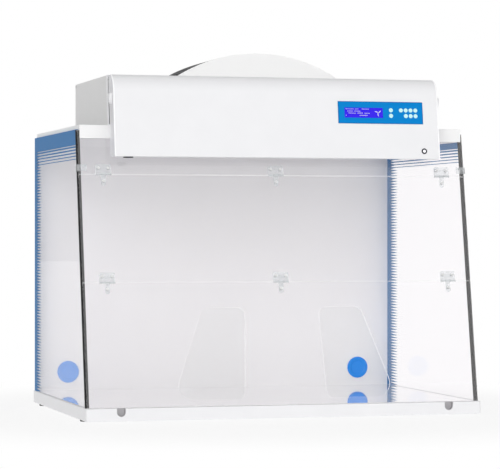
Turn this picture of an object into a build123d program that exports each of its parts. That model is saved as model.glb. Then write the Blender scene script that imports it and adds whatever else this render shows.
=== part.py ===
from build123d import *

import math
import os

# Ductless fume hood for a laboratory bench.
# Millimetres, Z up, X to the right as the user sees it, Y towards the back.
# The origin is on the floor at the middle of the base.
# Each function makes one piece or one group of like pieces.

# Base slab, worktop and feet
BASE_WIDTH = 1200.0
BASE_DEPTH = 842.0
BASE_HEIGHT = 37.0
BASE_EDGE = 2.0
WORKTOP_THICK = 6.0
WORKTOP_BORDER_SIDE = 13.0
WORKTOP_BORDER_FRONT = 24.0
WORKTOP_CORNER = 12.0
FOOT_HEIGHT = 8.0
FOOT_RADIUS = 20.0
FOOT_SPIGOT_RADIUS = 8.0
FOOT_SPIGOT_LENGTH = 10.0
FOOT_FROM_SIDE = 26.0
FOOT_FROM_FRONT = 126.0
FOOT_FROM_BACK = 66.0

# Finger notches at the front edge of the base, and the cups in them
NOTCH_WIDTH = 26.0
NOTCH_HEIGHT = 24.5
NOTCH_DEPTH = 14.0
NOTCH_FROM_SIDE = 102.0
CUP_WALL = 1.5

# Side panels and back panel, standing in a groove of the base
PANEL_RISE = 805.0
PANEL_THICK = 6.0
PANEL_FROM_SIDE = 4.0
GROOVE_DEPTH = 8.0

# Service openings in the back panel and their plugs
PLUG_RADIUS = 35.0
PLUG_BODY_RADIUS = 30.0
PLUG_FROM_SIDE = 104.5
PLUG_RISE = 58.0
PLUG_FLANGE = 4.0
PLUG_TAIL = 6.0
PLUG_DISH_RADIUS = 24.0
PLUG_DISH = 1.5

# Top frame
FRAME_HEIGHT = 39.0
FRAME_LAP = 26.0
SHEET = 2.0
FASCIA_GAP = 2.4
GRILLE_BORDER = 18.0
GRILLE_DEPTH = 10.0
GRILLE_SLATS = 7

# Front window
WINDOW_TILT = 10.0
WINDOW_LEDGE = 16.0
GLASS = 5.0
LOWER_LENGTH = 364.0
MIDDLE_LENGTH = 319.5
PANEL_GAP = 2.0
FOOT_GAP = 1.0
HEAD_GAP = 2.0

# Arm openings, given on the window, outwards from the middle
ARM_FOOT = 19.0
ARM_HEIGHT = 270.0
ARM_TOP_INNER = 112.0
ARM_TOP_OUTER = 241.0
ARM_FOOT_INNER = 125.0
ARM_FOOT_OUTER = 340.0
ARM_RADIUS = 24.0
ARM_OUTER_RADIUS = 42.0

# Edge seals of the side panels
SEAL_WALL = 2.0
SEAL_DEPTH = 12.0
SEAL_LIP = 3.0
SOFT_GAP = 0.3

# Window hinges
HINGE_FROM_SIDE = 73.0
HINGE_WIDTH = 46.0
HINGE_UP = 28.0
HINGE_DOWN = 27.0
HINGE_LEAF = 3.0
HINGE_TAIL_WIDTH = 13.0
KNUCKLE_RADIUS = 3.5
KNUCKLE_LIFT = 4.5
KNUCKLE_GAP = 0.3
HINGE_PIN_RADIUS = 1.6
PIN_PRESS = 0.02
PIN_RUNNING = 0.05
HINGE_SCREW_PITCH = 29.0
HINGE_SCREW_UP = 18.0
HINGE_SCREW_DOWN = 20.0
SCREW_RADIUS = 2.0
SCREW_HOLE_GAP = 0.1
SCREW_HEAD_RADIUS = 4.5
SCREW_HEAD = 2.6
SCREW_NUT_RADIUS = 4.2
SCREW_NUT = 3.5

# Clips of the upper window panel
CLIP_WIDTH = 28.0
CLIP_HEIGHT = 19.0
CLIP_THICK = 1.6
CLIP_REACH = 22.0
CLIP_RISE = 9.5

# Filter header
HEADER_FROM_SIDE = 98.0
HEADER_HEIGHT = 148.0
HEADER_FROM_BACK = 193.0
HEADER_RIM = 14.0
RING_DEPTH = 14.0
RING_WALL = 2.5
RING_PROUD = 1.0
CASE_SCREW_RADIUS = 4.0
CASE_SCREW_HEAD = 1.8
CASE_SCREW_FROM_BACK = 12.0
CASE_SCREW_FROM_TOP = 9.0
CASE_SCREW_FROM_FOOT = 12.0

# Header cover
COVER_EASE = 2.3
COVER_TILT = 7.6
COVER_DROP = 94.0
COVER_REACH = 70.0
COVER_ROLL = 50.0
COVER_STANDOFF = 62.0
COVER_LIP = 32.0
COVER_LIP_RADIUS = 3.0
COVER_TOP_GAP = 5.0
COVER_NOTCH = 8.5
COVER_NOTCH_DEPTH = 21.0
CHEEK_THICK = 3.0
CHEEK_GAP = 1.7
CHEEK_RADIUS = 14.0
PIVOT_RADIUS = 3.0
PIVOT_BEHIND_RING = 9.5
PIVOT_BELOW_TOP = 12.0
PIVOT_HEAD_RADIUS = 5.0
PIVOT_HEAD = 2.0
EAR_THICK = 3.0
EAR_RADIUS = 8.0
EAR_FROM_CHEEK = 3.5
GRIP_HEIGHT = 36.0
GRIP_WIDTH = 18.0
GRIP_PROUD = 9.0
GRIP_RISE = 171.0
GRIP_BACK = 11.0

# Control plate, display and buttons, on the cover face
PLATE_FROM_SIDE = 49.7
PLATE_WIDTH = 267.0
PLATE_HEIGHT = 67.0
PLATE_RISE = 106.0
PLATE_PROUD = 1.0
PLATE_SEAT = 1.0
PLATE_CORNER = 3.0
DISPLAY_INSET = 20.0
DISPLAY_WIDTH = 121.0
DISPLAY_HEIGHT = 31.0
DISPLAY_RISE = 17.5
DISPLAY_SINK = 0.3
DISPLAY_GAP = 0.2
DISPLAY_DEPTH = 9.0
BUTTON_RADIUS = 6.4
BUTTON_GAP = 0.15
BUTTON_PROUD = 1.2
BUTTON_SKIRT = 5.5
BUTTON_STEM_RADIUS = 3.0
BUTTON_TRAVEL = 0.8
BUTTON_ROW_HIGH = 41.7
BUTTON_ROW_LOW = 24.6
BUTTON_COLUMN = 166.5
BUTTON_FIRST = 198.0
BUTTON_PITCH = 15.3
BOARD_DEPTH = 14.0
BOARD_THICK = 1.6
BOARD_BORDER = 5.0
BOARD_WINDOW = 8.0
STANDOFF_RADIUS = 3.0
DOME_RADIUS = 3.5
BUTTON_NEAR = 0.9

# Key lock
LOCK_FROM_SIDE = 49.7
LOCK_RISE = 24.0
LOCK_FLANGE_RADIUS = 8.5
LOCK_FLANGE = 1.5
LOCK_BODY_RADIUS = 7.0
LOCK_BODY = 18.0
LOCK_PLUG_RADIUS = 4.5
LOCK_PLUG_GAP = 0.05
LOCK_CAM_LENGTH = 26.0
LOCK_CAM_WIDTH = 10.0
LOCK_CAM_THICK = 2.0
LOCK_NUT = 3.0
KEY_SLOT_WIDTH = 1.4
KEY_SLOT_LENGTH = 6.0
STRIKE_WIDTH = 24.0
STRIKE_REACH = 50.0
STRIKE_DROP = 18.0

# Plug in the lower lip of the cover
PORT_FROM_SIDE = 43.2
PORT_RADIUS = 14.5
PORT_BODY_RADIUS = 11.0
PORT_PROUD = 3.0

# Lamp in front of the fascia
LAMP_FROM_SIDE = 102.0
LAMP_DEPTH = 24.0
LAMP_HEIGHT = 18.0
LAMP_TUBE_RADIUS = 6.5
LAMP_WALL = 1.5
LAMP_RISE = 10.0

# Exhaust cowl
COWL_RADIUS = 479.0
COWL_RISE = 84.0
COWL_FROM_BACK = 92.0
COWL_DEPTH = 230.0
COWL_FLANGE = 14.0
SLOT_COLUMNS = 15
SLOT_ROWS = 4
SLOT_WIDTH = 16.0
SLOT_BORDER = 16.0
SLOT_BRIDGE = 14.0

# Filters
FILTER_FROM_SIDE = 52.0
FILTER_FROM_FASCIA = 67.0
FILTER_FROM_BACK = 33.0
FILTER_LAP_SIDE = 20.0
FILTER_LAP_END = 15.0
FILTER_HEIGHT = 66.0
FILTER_WALL = 14.0
FILTER_BAR = 5.0
FILTER_BARS = 11
SEAL_BAND = 9.0
FILTER_SEAL = 14.0
PREFILTER_THICK = 12.0
PREFILTER_EASE = 2.0
WEDGE_WIDTH = 30.0
WEDGE_GRIP = 10.0
DECK_ABOVE_FILTER = 8.0
DECK_SKIRT = 12.0

# Fan
IMPELLER_RADIUS = 95.0
IMPELLER_EYE = 58.0
IMPELLER_ABOVE_DECK = 8.0
IMPELLER_HEIGHT = 52.0
IMPELLER_SHEET = 2.0
SHROUD_RISE = 9.0
BLADES = 7
BLADE_THICK = 2.0
BLADE_START = 60.0
BLADE_EDGE = 1.0
BLADE_BULGE = 9.0
BLADE_SWEEP = 46.0
INLET_LIP = 18.0
INLET_GAP = 2.5
INLET_RING_FLANGE = 6.0
INLET_RING_RISE = 4.0
ROTOR_RADIUS = 44.0
ROTOR_WALL = 3.0
ROTOR_HEIGHT = 56.0
ROTOR_GAP = 1.0
FAN_SHAFT_RADIUS = 5.0
FAN_SHAFT_GAP = 0.05
STATOR_FLANGE = 4.0
VENT_EASE = 2.0
BRIDGE_WIDTH = 60.0
BRIDGE_FOOT_X = 262.0
BRIDGE_LEG_X = 242.0
BRIDGE_TOP_X = 130.0

# Power supply and inlet
SUPPLY_FROM_SIDE = 142.0
SUPPLY_FROM_BACK = 78.0
SUPPLY_WIDTH = 130.0
SUPPLY_DEPTH = 80.0
SUPPLY_HEIGHT = 36.0
SUPPLY_SLOTS = 6
SUPPLY_SLOT_EDGE = 15.0
INLET_FROM_SIDE = 102.0
INLET_WIDTH = 48.0
INLET_HEIGHT = 28.0
INLET_DEPTH = 26.0
INLET_FLANGE = 2.5
INLET_FLANGE_EDGE = 5.0
INLET_WALL = 4.0
INLET_PIN_PITCH = 9.0
INLET_PIN_THICK = 2.0
INLET_PIN_WIDE = 5.0
INLET_PIN_STEP = 2.5
INLET_RISE = 122.0

# Places worked out from the sizes
half_width = BASE_WIDTH / 2
front_y = -BASE_DEPTH / 2
back_y = BASE_DEPTH / 2
worktop_z = FOOT_HEIGHT + BASE_HEIGHT
panel_top_z = worktop_z + PANEL_RISE
frame_bottom_z = panel_top_z - FRAME_LAP
frame_top_z = frame_bottom_z + FRAME_HEIGHT
header_top_z = frame_top_z + HEADER_HEIGHT

side_outer_x = half_width - PANEL_FROM_SIDE
side_inner_x = side_outer_x - PANEL_THICK
back_inner_y = back_y - PANEL_THICK
notch_x = half_width - NOTCH_FROM_SIDE
plug_x = side_inner_x - PLUG_FROM_SIDE
hinge_spread = side_outer_x - HINGE_FROM_SIDE

tilt = math.radians(WINDOW_TILT)
window_foot_y = front_y + WINDOW_LEDGE
window_plane = Plane(
    origin=(0, window_foot_y, worktop_z),
    x_dir=(1, 0, 0),
    z_dir=(0, -math.cos(tilt), math.sin(tilt)),
)
lower_joint_s = LOWER_LENGTH
upper_joint_s = LOWER_LENGTH + MIDDLE_LENGTH
window_top_s = (panel_top_z - HEAD_GAP - worktop_z) / math.cos(tilt)


def window_y(z, depth=0.0):
    """Y of the window's outer face at height z, or of the plane that lies depth behind it."""
    return window_foot_y + (z - worktop_z) * math.tan(tilt) + depth / math.cos(tilt)


fascia_y = window_y(frame_bottom_z) - FASCIA_GAP - SHEET

cover_tilt = math.radians(COVER_TILT)
cover_bottom_z = frame_top_z - COVER_DROP
cover_foot_y = fascia_y - COVER_REACH
face_plane = Plane(
    origin=(0, cover_foot_y, cover_bottom_z),
    x_dir=(1, 0, 0),
    z_dir=(0, -math.cos(cover_tilt), math.sin(cover_tilt)),
)


def face_y(z):
    """Y of the cover's outer face at height z."""
    return cover_foot_y + (z - cover_bottom_z) * math.tan(cover_tilt)


def ring_y(z):
    """Y of the front of the header's ring at height z."""
    return face_y(z) + COVER_STANDOFF


pivot_z = header_top_z - PIVOT_BELOW_TOP
pivot_y = ring_y(pivot_z) - PIVOT_BEHIND_RING
header_outer_x = half_width - HEADER_FROM_SIDE
header_back = back_y - HEADER_FROM_BACK
header_inner_x = header_outer_x - SHEET
ring_outer_x = header_outer_x + RING_PROUD
ring_inner_x = ring_outer_x - RING_WALL
cheek_outer_x = header_outer_x - COVER_EASE
cheek_inner_x = cheek_outer_x - CHEEK_THICK
plate_right = cheek_outer_x - PLATE_FROM_SIDE
plate_left = plate_right - PLATE_WIDTH
display_left = plate_left + DISPLAY_INSET
display_rise = PLATE_RISE + DISPLAY_RISE
lock_x = cheek_outer_x - LOCK_FROM_SIDE
port_x = -cheek_outer_x + PORT_FROM_SIDE
lamp_half = header_outer_x - LAMP_FROM_SIDE

cowl_centre_z = header_top_z + COWL_RISE - COWL_RADIUS
cowl_half = math.sqrt(COWL_RADIUS**2 - (header_top_z - cowl_centre_z) ** 2)
cowl_back = header_back - COWL_FROM_BACK
cowl_front = cowl_back - COWL_DEPTH
fan_y = (cowl_front + cowl_back) / 2
supply_x = header_outer_x - SUPPLY_FROM_SIDE
supply_y = header_back - SUPPLY_FROM_BACK
inlet_x = header_outer_x - INLET_FROM_SIDE

filter_x = header_outer_x - FILTER_FROM_SIDE
filter_front = fascia_y + FILTER_FROM_FASCIA
filter_back = header_back - FILTER_FROM_BACK

seal_top_z = frame_top_z + FILTER_SEAL
filter_top_z = seal_top_z + FILTER_HEIGHT
deck_z = filter_top_z + DECK_ABOVE_FILTER
impeller_z = deck_z + SHEET + IMPELLER_ABOVE_DECK
impeller_top_z = impeller_z + IMPELLER_HEIGHT
rotor_z = impeller_top_z - ROTOR_HEIGHT / 2 - 10.0
rotor_top_z = rotor_z + ROTOR_HEIGHT
stator_top_z = rotor_top_z + ROTOR_GAP + STATOR_FLANGE


# General helpers


def block(x0, x1, y0, y1, z0, z1):
    """A box between two corners."""
    centre = Pos((x0 + x1) / 2, (y0 + y1) / 2, (z0 + z1) / 2)
    return centre * Box(x1 - x0, y1 - y0, z1 - z0)


def side_outline(points, x0, x1):
    """A closed outline in the YZ plane carried from x0 to x1."""
    face = make_face(Polyline(*points, close=True))
    return extrude(Plane.YZ.offset(x0) * face, amount=x1 - x0)


def on_plane(plane, x, s, thick=0.0, lift=0.0):
    """A place on a plane: x across, s up the slope, lift out of it."""
    return plane * Pos(x, s, lift + thick / 2)


def slab_on(plane, x0, x1, s0, s1, n0, n1):
    """A box in a plane's own directions, from n0 to n1 along its normal."""
    box = Box(x1 - x0, s1 - s0, n1 - n0)
    return on_plane(plane, (x0 + x1) / 2, (s0 + s1) / 2, n1 - n0, n0) * box


def disc_on(plane, x, s, radius, n0, n1):
    """A round disc in a plane's own directions."""
    return on_plane(plane, x, s, n1 - n0, n0) * Cylinder(radius, n1 - n0)


def both_sides(shape):
    """A shape with its mirror image in the middle plane of the hood."""
    return Compound(children=[*shape.solids(), *mirror(shape, about=Plane.YZ).solids()])


def group(shapes):
    """Separate solids held together as one node."""
    return Compound(children=[solid for shape in shapes for solid in shape.solids()])


# Base


def notch_outline(grow):
    """The U outline of a finger notch seen from the front, open upwards."""
    radius = NOTCH_WIDTH / 2 + grow
    centre_z = worktop_z - NOTCH_HEIGHT + NOTCH_WIDTH / 2
    arc = ThreePointArc((-radius, centre_z), (0, centre_z - radius), (radius, centre_z))
    top = Polyline((radius, centre_z), (radius, worktop_z), (-radius, worktop_z), (-radius, centre_z))
    return make_face([arc, top])


def notch_solid(grow, y0, y1):
    """The notch outline carried from y0 to y1."""
    face = Plane.XZ.offset(-y1) * notch_outline(grow)
    return extrude(face, amount=y1 - y0)


def base_slab():
    """The slab, with a recess for the worktop, grooves for the panels and two finger notches."""
    slab = block(-half_width, half_width, front_y, back_y, FOOT_HEIGHT, worktop_z)
    slab = fillet(slab.edges().filter_by(Axis.Z), WORKTOP_CORNER / 2)
    slab = fillet(slab.edges().group_by(Axis.Z)[-1], BASE_EDGE)
    x = half_width - WORKTOP_BORDER_SIDE
    y0 = front_y + WORKTOP_BORDER_FRONT
    recess = block(-x, x, y0, back_inner_y, worktop_z - WORKTOP_THICK, worktop_z)
    groove_z = worktop_z - GROOVE_DEPTH
    side_groove = block(side_inner_x, side_outer_x, side_foot_y(), back_y, groove_z, worktop_z)
    back_groove = block(-side_inner_x, side_inner_x, back_inner_y, back_y, groove_z, worktop_z)
    slab = slab - recess - side_groove - mirror(side_groove, about=Plane.YZ) - back_groove
    for x in (-notch_x, notch_x):
        slab = slab - Pos(x, 0, 0) * notch_solid(0, front_y, front_y + NOTCH_DEPTH)
    for x, y in foot_places():
        hole = Cylinder(FOOT_SPIGOT_RADIUS, FOOT_SPIGOT_LENGTH)
        slab = slab - Pos(x, y, FOOT_HEIGHT + FOOT_SPIGOT_LENGTH / 2) * hole
    return slab


def foot_places():
    """Centres of the four feet."""
    x = half_width - FOOT_FROM_SIDE
    return [(i * x, y) for i in (-1, 1) for y in (front_y + FOOT_FROM_FRONT, back_y - FOOT_FROM_BACK)]


def base_feet():
    """Four turned rubber feet with a spigot that sits in the slab."""
    taper = 2.0
    outline = Polyline(
        (0, 0),
        (FOOT_RADIUS - taper, 0),
        (FOOT_RADIUS, FOOT_HEIGHT),
        (FOOT_SPIGOT_RADIUS, FOOT_HEIGHT),
        (FOOT_SPIGOT_RADIUS, FOOT_HEIGHT + FOOT_SPIGOT_LENGTH),
        (0, FOOT_HEIGHT + FOOT_SPIGOT_LENGTH),
        close=True,
    )
    foot = revolve(Plane.XZ * make_face(outline), Axis.Z)
    return group([Pos(x, y, 0) * foot for x, y in foot_places()])


def finger_cups():
    """Two moulded cups that line the finger notches."""
    cup = notch_solid(0, front_y, front_y + NOTCH_DEPTH)
    hollow = notch_solid(-CUP_WALL, front_y, front_y + NOTCH_DEPTH - CUP_WALL)
    cup = cup - hollow
    return group([Pos(x, 0, 0) * cup for x in (-notch_x, notch_x)])


def worktop():
    """The glossy panel in the recess of the slab, flush with its rim."""
    x = half_width - WORKTOP_BORDER_SIDE
    y0 = front_y + WORKTOP_BORDER_FRONT
    return block(-x, x, y0, back_inner_y, worktop_z - WORKTOP_THICK, worktop_z)


# Walls of the chamber


def side_front_y(z):
    """Front edge of the side panels at height z, behind the seal."""
    return window_y(z, GLASS + SOFT_GAP + SEAL_LIP)


def side_foot_y():
    """Front end of the side panels' groove."""
    return side_front_y(worktop_z - GROOVE_DEPTH)


def side_panel():
    """The right clear side panel, its front edge tilted as the window is."""
    z0 = worktop_z - GROOVE_DEPTH
    points = [
        (back_y, z0),
        (back_y, panel_top_z),
        (side_front_y(panel_top_z), panel_top_z),
        (side_front_y(z0), z0),
    ]
    return side_outline(points, side_inner_x, side_outer_x)


def side_seal():
    """The black channel on the front edge of the right side panel."""
    z0 = worktop_z
    z1 = panel_top_z - HEAD_GAP
    d0 = GLASS + SOFT_GAP
    d1 = d0 + SEAL_DEPTH
    points = [(window_y(z, d), z) for z, d in ((z0, d0), (z1, d0), (z1, d1), (z0, d1))]
    band = side_outline(points, side_inner_x - SEAL_WALL, side_outer_x + SEAL_WALL)
    return band - side_panel()


def back_panel():
    """The white back panel with its two round service openings."""
    z0 = worktop_z - GROOVE_DEPTH
    panel = block(-side_inner_x, side_inner_x, back_inner_y, back_y, z0, panel_top_z)
    for x in (-plug_x, plug_x):
        hole = Rot(90, 0, 0) * Cylinder(PLUG_BODY_RADIUS, 4 * PANEL_THICK)
        panel = panel - Pos(x, back_y, worktop_z + PLUG_RISE) * hole
    return panel


def service_plug(x):
    """A turned plug: a domed flange on the inside and a tail in the opening."""
    outline = Polyline(
        (0, PLUG_FLANGE - PLUG_DISH),
        (PLUG_DISH_RADIUS - PLUG_DISH, PLUG_FLANGE - PLUG_DISH),
        (PLUG_DISH_RADIUS, PLUG_FLANGE),
        (PLUG_RADIUS - PLUG_DISH, PLUG_FLANGE),
        (PLUG_RADIUS, PLUG_FLANGE - PLUG_DISH),
        (PLUG_RADIUS, 0),
        (PLUG_BODY_RADIUS, 0),
        (PLUG_BODY_RADIUS, -PLUG_TAIL),
        (0, -PLUG_TAIL),
        close=True,
    )
    plug = revolve(Plane.XZ * make_face(outline), Axis.Z)
    return Pos(x, back_inner_y, worktop_z + PLUG_RISE) * Rot(90, 0, 0) * plug


# Top frame and ceiling


def frame_opening(grow, z0, z1):
    """The ceiling's air opening, grown on each side."""
    x = filter_x - FILTER_LAP_SIDE + grow
    lap = FILTER_LAP_END - grow
    return block(-x, x, filter_front + lap, filter_back - lap, z0, z1)


def top_frame():
    """A folded tray, open downwards, whose front wall is the fascia."""
    outer = block(-side_inner_x, side_inner_x, fascia_y, back_inner_y, frame_bottom_z, frame_top_z)
    outer = fillet(outer.edges().group_by(Axis.Z)[-1].group_by(Axis.Y)[0], SHEET)
    x = side_inner_x - SHEET
    z0 = frame_bottom_z - SHEET
    inner = block(-x, x, fascia_y + SHEET, back_inner_y - SHEET, z0, frame_top_z - SHEET)
    y1 = window_y(panel_top_z, GLASS + SEAL_DEPTH) + SHEET
    notch = block(x - SHEET, side_inner_x, fascia_y + SHEET, y1, z0, panel_top_z)
    tray = outer - inner - notch - mirror(notch, about=Plane.YZ)
    return tray - frame_opening(0, frame_bottom_z, frame_top_z + SHEET)


def ceiling_grille():
    """A slatted grille under the air opening."""
    lip = GRILLE_BORDER / 2
    z1 = frame_top_z - SHEET
    z0 = z1 - GRILLE_DEPTH
    grille = frame_opening(GRILLE_BORDER, z0, z1) - frame_opening(-lip, z0 - SHEET, z1 + SHEET)
    x = filter_x - FILTER_LAP_SIDE - lip
    y0 = filter_front + FILTER_LAP_END + lip
    y1 = filter_back - FILTER_LAP_END - lip
    for i in range(1, GRILLE_SLATS + 1):
        y = y0 + (y1 - y0) * i / (GRILLE_SLATS + 1)
        grille = grille + block(-x, x, y - SHEET / 2, y + SHEET / 2, z0, z1)
    return grille


def head_seal():
    """A foam strip between the fascia and the upper window panel."""
    z0 = frame_bottom_z + 1.0
    z1 = panel_top_z - HEAD_GAP
    points = [(fascia_y + SHEET, z0), (fascia_y + SHEET, z1), (window_y(z1), z1), (window_y(z0), z0)]
    x = side_inner_x - SEAL_WALL - 1.0
    return side_outline(points, -x, x)


# Front window


def window_sheet(s0, s1):
    """A clear sheet of the window between two places up its slope."""
    x = side_outer_x
    return slab_on(window_plane, -x, x, s0, s1, -GLASS, 0)


def screw_holes(sheet, places):
    """The sheet with the hinge screws' holes."""
    for x, s in places:
        sheet = sheet - disc_on(window_plane, x, s, SCREW_RADIUS + SCREW_HOLE_GAP, -2 * GLASS, GLASS)
    return sheet


def hinge_places():
    """Places across the window of the three hinges in a row."""
    return (-hinge_spread, 0.0, hinge_spread)


def screws_above(joint_s):
    """Places of the two screws in each upper leaf."""
    pitch = HINGE_SCREW_PITCH / 2
    return [(x + i * pitch, joint_s + HINGE_SCREW_UP) for x in hinge_places() for i in (-1, 1)]


def screws_below(joint_s):
    """Place of the single screw in each lower leaf."""
    return [(x, joint_s - HINGE_SCREW_DOWN) for x in hinge_places()]


def window_upper():
    """The fixed panel, its head held behind the fascia."""
    sheet = window_sheet(upper_joint_s + PANEL_GAP / 2, window_top_s)
    return screw_holes(sheet, screws_above(upper_joint_s))


def window_middle():
    """The middle panel, hung from the upper hinges."""
    sheet = window_sheet(lower_joint_s + PANEL_GAP / 2, upper_joint_s - PANEL_GAP / 2)
    return screw_holes(sheet, screws_below(upper_joint_s) + screws_above(lower_joint_s))


def arm_opening():
    """The right arm opening's outline, wider at the foot."""
    top = ARM_FOOT + ARM_HEIGHT
    corners = [
        (ARM_TOP_INNER, top),
        (ARM_TOP_OUTER, top),
        (ARM_FOOT_OUTER, ARM_FOOT),
        (ARM_FOOT_INNER, ARM_FOOT),
    ]
    face = make_face(Polyline(*corners, close=True))
    outer_foot = face.vertices().sort_by_distance((ARM_FOOT_OUTER, ARM_FOOT, 0))[0]
    face = fillet(outer_foot, ARM_OUTER_RADIUS)
    sharp = [v for v in face.vertices() if min(math.dist((v.X, v.Y), c) for c in corners) < 0.01]
    return fillet(sharp, ARM_RADIUS)


def window_lower():
    """The lower panel with its two arm openings."""
    sheet = window_sheet(FOOT_GAP, lower_joint_s - PANEL_GAP / 2)
    cut = extrude(window_plane.offset(-2 * GLASS) * arm_opening(), amount=4 * GLASS)
    sheet = sheet - cut - mirror(cut, about=Plane.YZ)
    return screw_holes(sheet, screws_below(lower_joint_s))


def hinge_upper_leaf(joint_s):
    """A clear leaf with two end knuckles, above the joint."""
    leaf = RectangleRounded(HINGE_WIDTH, HINGE_UP, 2 * HINGE_LEAF)
    leaf = extrude(window_plane * Pos(0, joint_s + HINGE_UP / 2 + 1.0, 0) * leaf, amount=HINGE_LEAF)
    leaf = leaf + hinge_barrel(joint_s, HINGE_WIDTH)
    x = HINGE_TAIL_WIDTH / 2 + KNUCKLE_GAP
    clear = KNUCKLE_RADIUS + 2 * KNUCKLE_GAP
    leaf = leaf - slab_on(window_plane, -x, x, joint_s - 2 * clear, joint_s + clear, -1, 3 * clear)
    leaf = leaf - hinge_bore(joint_s, PIN_PRESS)
    return screw_holes(leaf, [(i * HINGE_SCREW_PITCH / 2, joint_s + HINGE_SCREW_UP) for i in (-1, 1)])


def hinge_barrel(joint_s, width):
    """The round of a hinge's knuckles."""
    barrel = Rot(0, 90, 0) * Cylinder(KNUCKLE_RADIUS, width)
    return on_plane(window_plane, 0, joint_s, 0, KNUCKLE_LIFT) * barrel


def hinge_bore(joint_s, gap):
    """The pin's hole through the knuckles."""
    bore = Rot(0, 90, 0) * Cylinder(HINGE_PIN_RADIUS + gap, 2 * HINGE_WIDTH)
    return on_plane(window_plane, 0, joint_s, 0, KNUCKLE_LIFT) * bore


def hinge_lower_leaf(joint_s):
    """A narrow clear leaf with the middle knuckle and a rounded end, below the joint."""
    width = HINGE_TAIL_WIDTH
    leaf = Pos(0, joint_s - HINGE_DOWN / 2) * Rectangle(width, HINGE_DOWN)
    leaf = leaf + Pos(0, joint_s - HINGE_DOWN) * Circle(width / 2)
    upper = Pos(0, joint_s) * Rectangle(2 * width, 2 * PANEL_GAP)
    leaf = extrude(window_plane * (leaf - upper), amount=HINGE_LEAF)
    neck = slab_on(window_plane, -width / 2, width / 2, joint_s - KNUCKLE_RADIUS, joint_s, 1.2, HINGE_LEAF)
    leaf = leaf + hinge_barrel(joint_s, width) + neck - hinge_bore(joint_s, PIN_RUNNING)
    return screw_holes(leaf, [(0, joint_s - HINGE_SCREW_DOWN)])


def hinge_pins(joint_s):
    """The three pins of a row, as long as the hinges."""
    pin = Rot(0, 90, 0) * Cylinder(HINGE_PIN_RADIUS, HINGE_WIDTH)
    return group([on_plane(window_plane, x, joint_s, 0, KNUCKLE_LIFT) * pin for x in hinge_places()])


def along_hinges(shape):
    """A hinge leaf repeated at the three hinge places."""
    return group([Pos(x, 0, 0) * shape for x in hinge_places()])


def hinge_screws(places):
    """Round-headed screws through leaf and sheet, each with a cap nut inside."""
    screws = []
    for x, s in places:
        head = disc_on(window_plane, x, s, SCREW_HEAD_RADIUS, HINGE_LEAF, HINGE_LEAF + SCREW_HEAD)
        shank = disc_on(window_plane, x, s, SCREW_RADIUS, -GLASS - SCREW_NUT, HINGE_LEAF)
        nut = disc_on(window_plane, x, s, SCREW_NUT_RADIUS, -GLASS - SCREW_NUT, -GLASS)
        screws.append(head + shank + nut)
    return group(screws)


def window_clips():
    """Two folded clips that hold the foot of the upper panel to the side panels."""
    s0 = upper_joint_s + CLIP_RISE
    x1 = side_outer_x + SEAL_WALL + CLIP_THICK
    plate = slab_on(window_plane, x1 - CLIP_WIDTH, x1, s0, s0 + CLIP_HEIGHT, 0, CLIP_THICK)
    leg = slab_on(window_plane, x1 - CLIP_THICK, x1, s0, s0 + CLIP_HEIGHT, -CLIP_REACH, CLIP_THICK)
    return both_sides(plate + leg)


# Filter header


def header_case():
    """The folded case: top, back and sides, open at the front, with a rim round its foot."""

    def case_outline(back, top, front, x):
        points = [
            (back, frame_top_z),
            (back, top),
            (ring_y(top) + front, top),
            (ring_y(frame_top_z) + front, frame_top_z),
        ]
        return side_outline(points, -x, x)

    outer = case_outline(header_back, header_top_z, RING_DEPTH, header_outer_x)
    outer = fillet(outer.edges().filter_by(Axis.Y).group_by(Axis.Z)[-1], SHEET)
    x = header_inner_x
    inner = case_outline(header_back - SHEET, header_top_z - SHEET, -RING_DEPTH, x)
    case = outer - inner
    rim = block(-x, x, header_back - HEADER_RIM, header_back - SHEET, frame_top_z, frame_top_z + SHEET)
    case = case + rim
    vent_x = BRIDGE_LEG_X - VENT_EASE
    y0 = cowl_front + COWL_FLANGE
    y1 = cowl_back - COWL_FLANGE
    case = case - block(-vent_x, vent_x, y0, y1, header_top_z - 2 * SHEET, header_top_z + SHEET)
    return case - inlet_block(0, header_back - 2 * SHEET, header_back + SHEET)


def header_ring():
    """The frame round the front of the case, with two ears that carry the cover."""
    z0 = frame_top_z
    z1 = header_top_z
    corners = ((z0, 0), (z1, 0), (z1, RING_DEPTH), (z0, RING_DEPTH))
    ring = side_outline([(ring_y(z) + d, z) for z, d in corners], -ring_outer_x, ring_outer_x)
    x = ring_inner_x
    ring = ring - block(-x, x, ring_y(z0) - RING_DEPTH, header_back, z0 + RING_WALL, z1 - RING_WALL)
    top = z1 - RING_WALL
    outline = [
        (ring_y(top) + RING_DEPTH, top),
        (ring_y(top) + RING_DEPTH, top - 4.0),
        (pivot_y, pivot_z - EAR_RADIUS),
        (pivot_y - EAR_RADIUS, pivot_z),
        (pivot_y, pivot_z + EAR_RADIUS),
        (ring_y(top), top),
    ]
    x1 = cheek_inner_x - EAR_FROM_CHEEK
    ear = side_outline(outline, x1 - EAR_THICK, x1) + pivot_disc(x1 - EAR_THICK, x1, EAR_RADIUS)
    ear = ear - pivot_disc(0, ring_outer_x, PIVOT_RADIUS + PIN_PRESS)
    return ring + ear + mirror(ear, about=Plane.YZ)


def pivot_disc(x0, x1, radius):
    """A disc on the cover's pivot axis."""
    return Pos((x0 + x1) / 2, pivot_y, pivot_z) * Rot(0, 90, 0) * Cylinder(radius, x1 - x0)


def cover_pivots():
    """Two shouldered pins, fast in the ears, on which the cover's cheeks turn."""
    x1 = cheek_outer_x + SOFT_GAP
    x0 = cheek_inner_x - EAR_FROM_CHEEK - EAR_THICK
    pin = pivot_disc(x0, x1 + PIVOT_HEAD, PIVOT_RADIUS) + pivot_disc(x1, x1 + PIVOT_HEAD, PIVOT_HEAD_RADIUS)
    return both_sides(pin)


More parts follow.
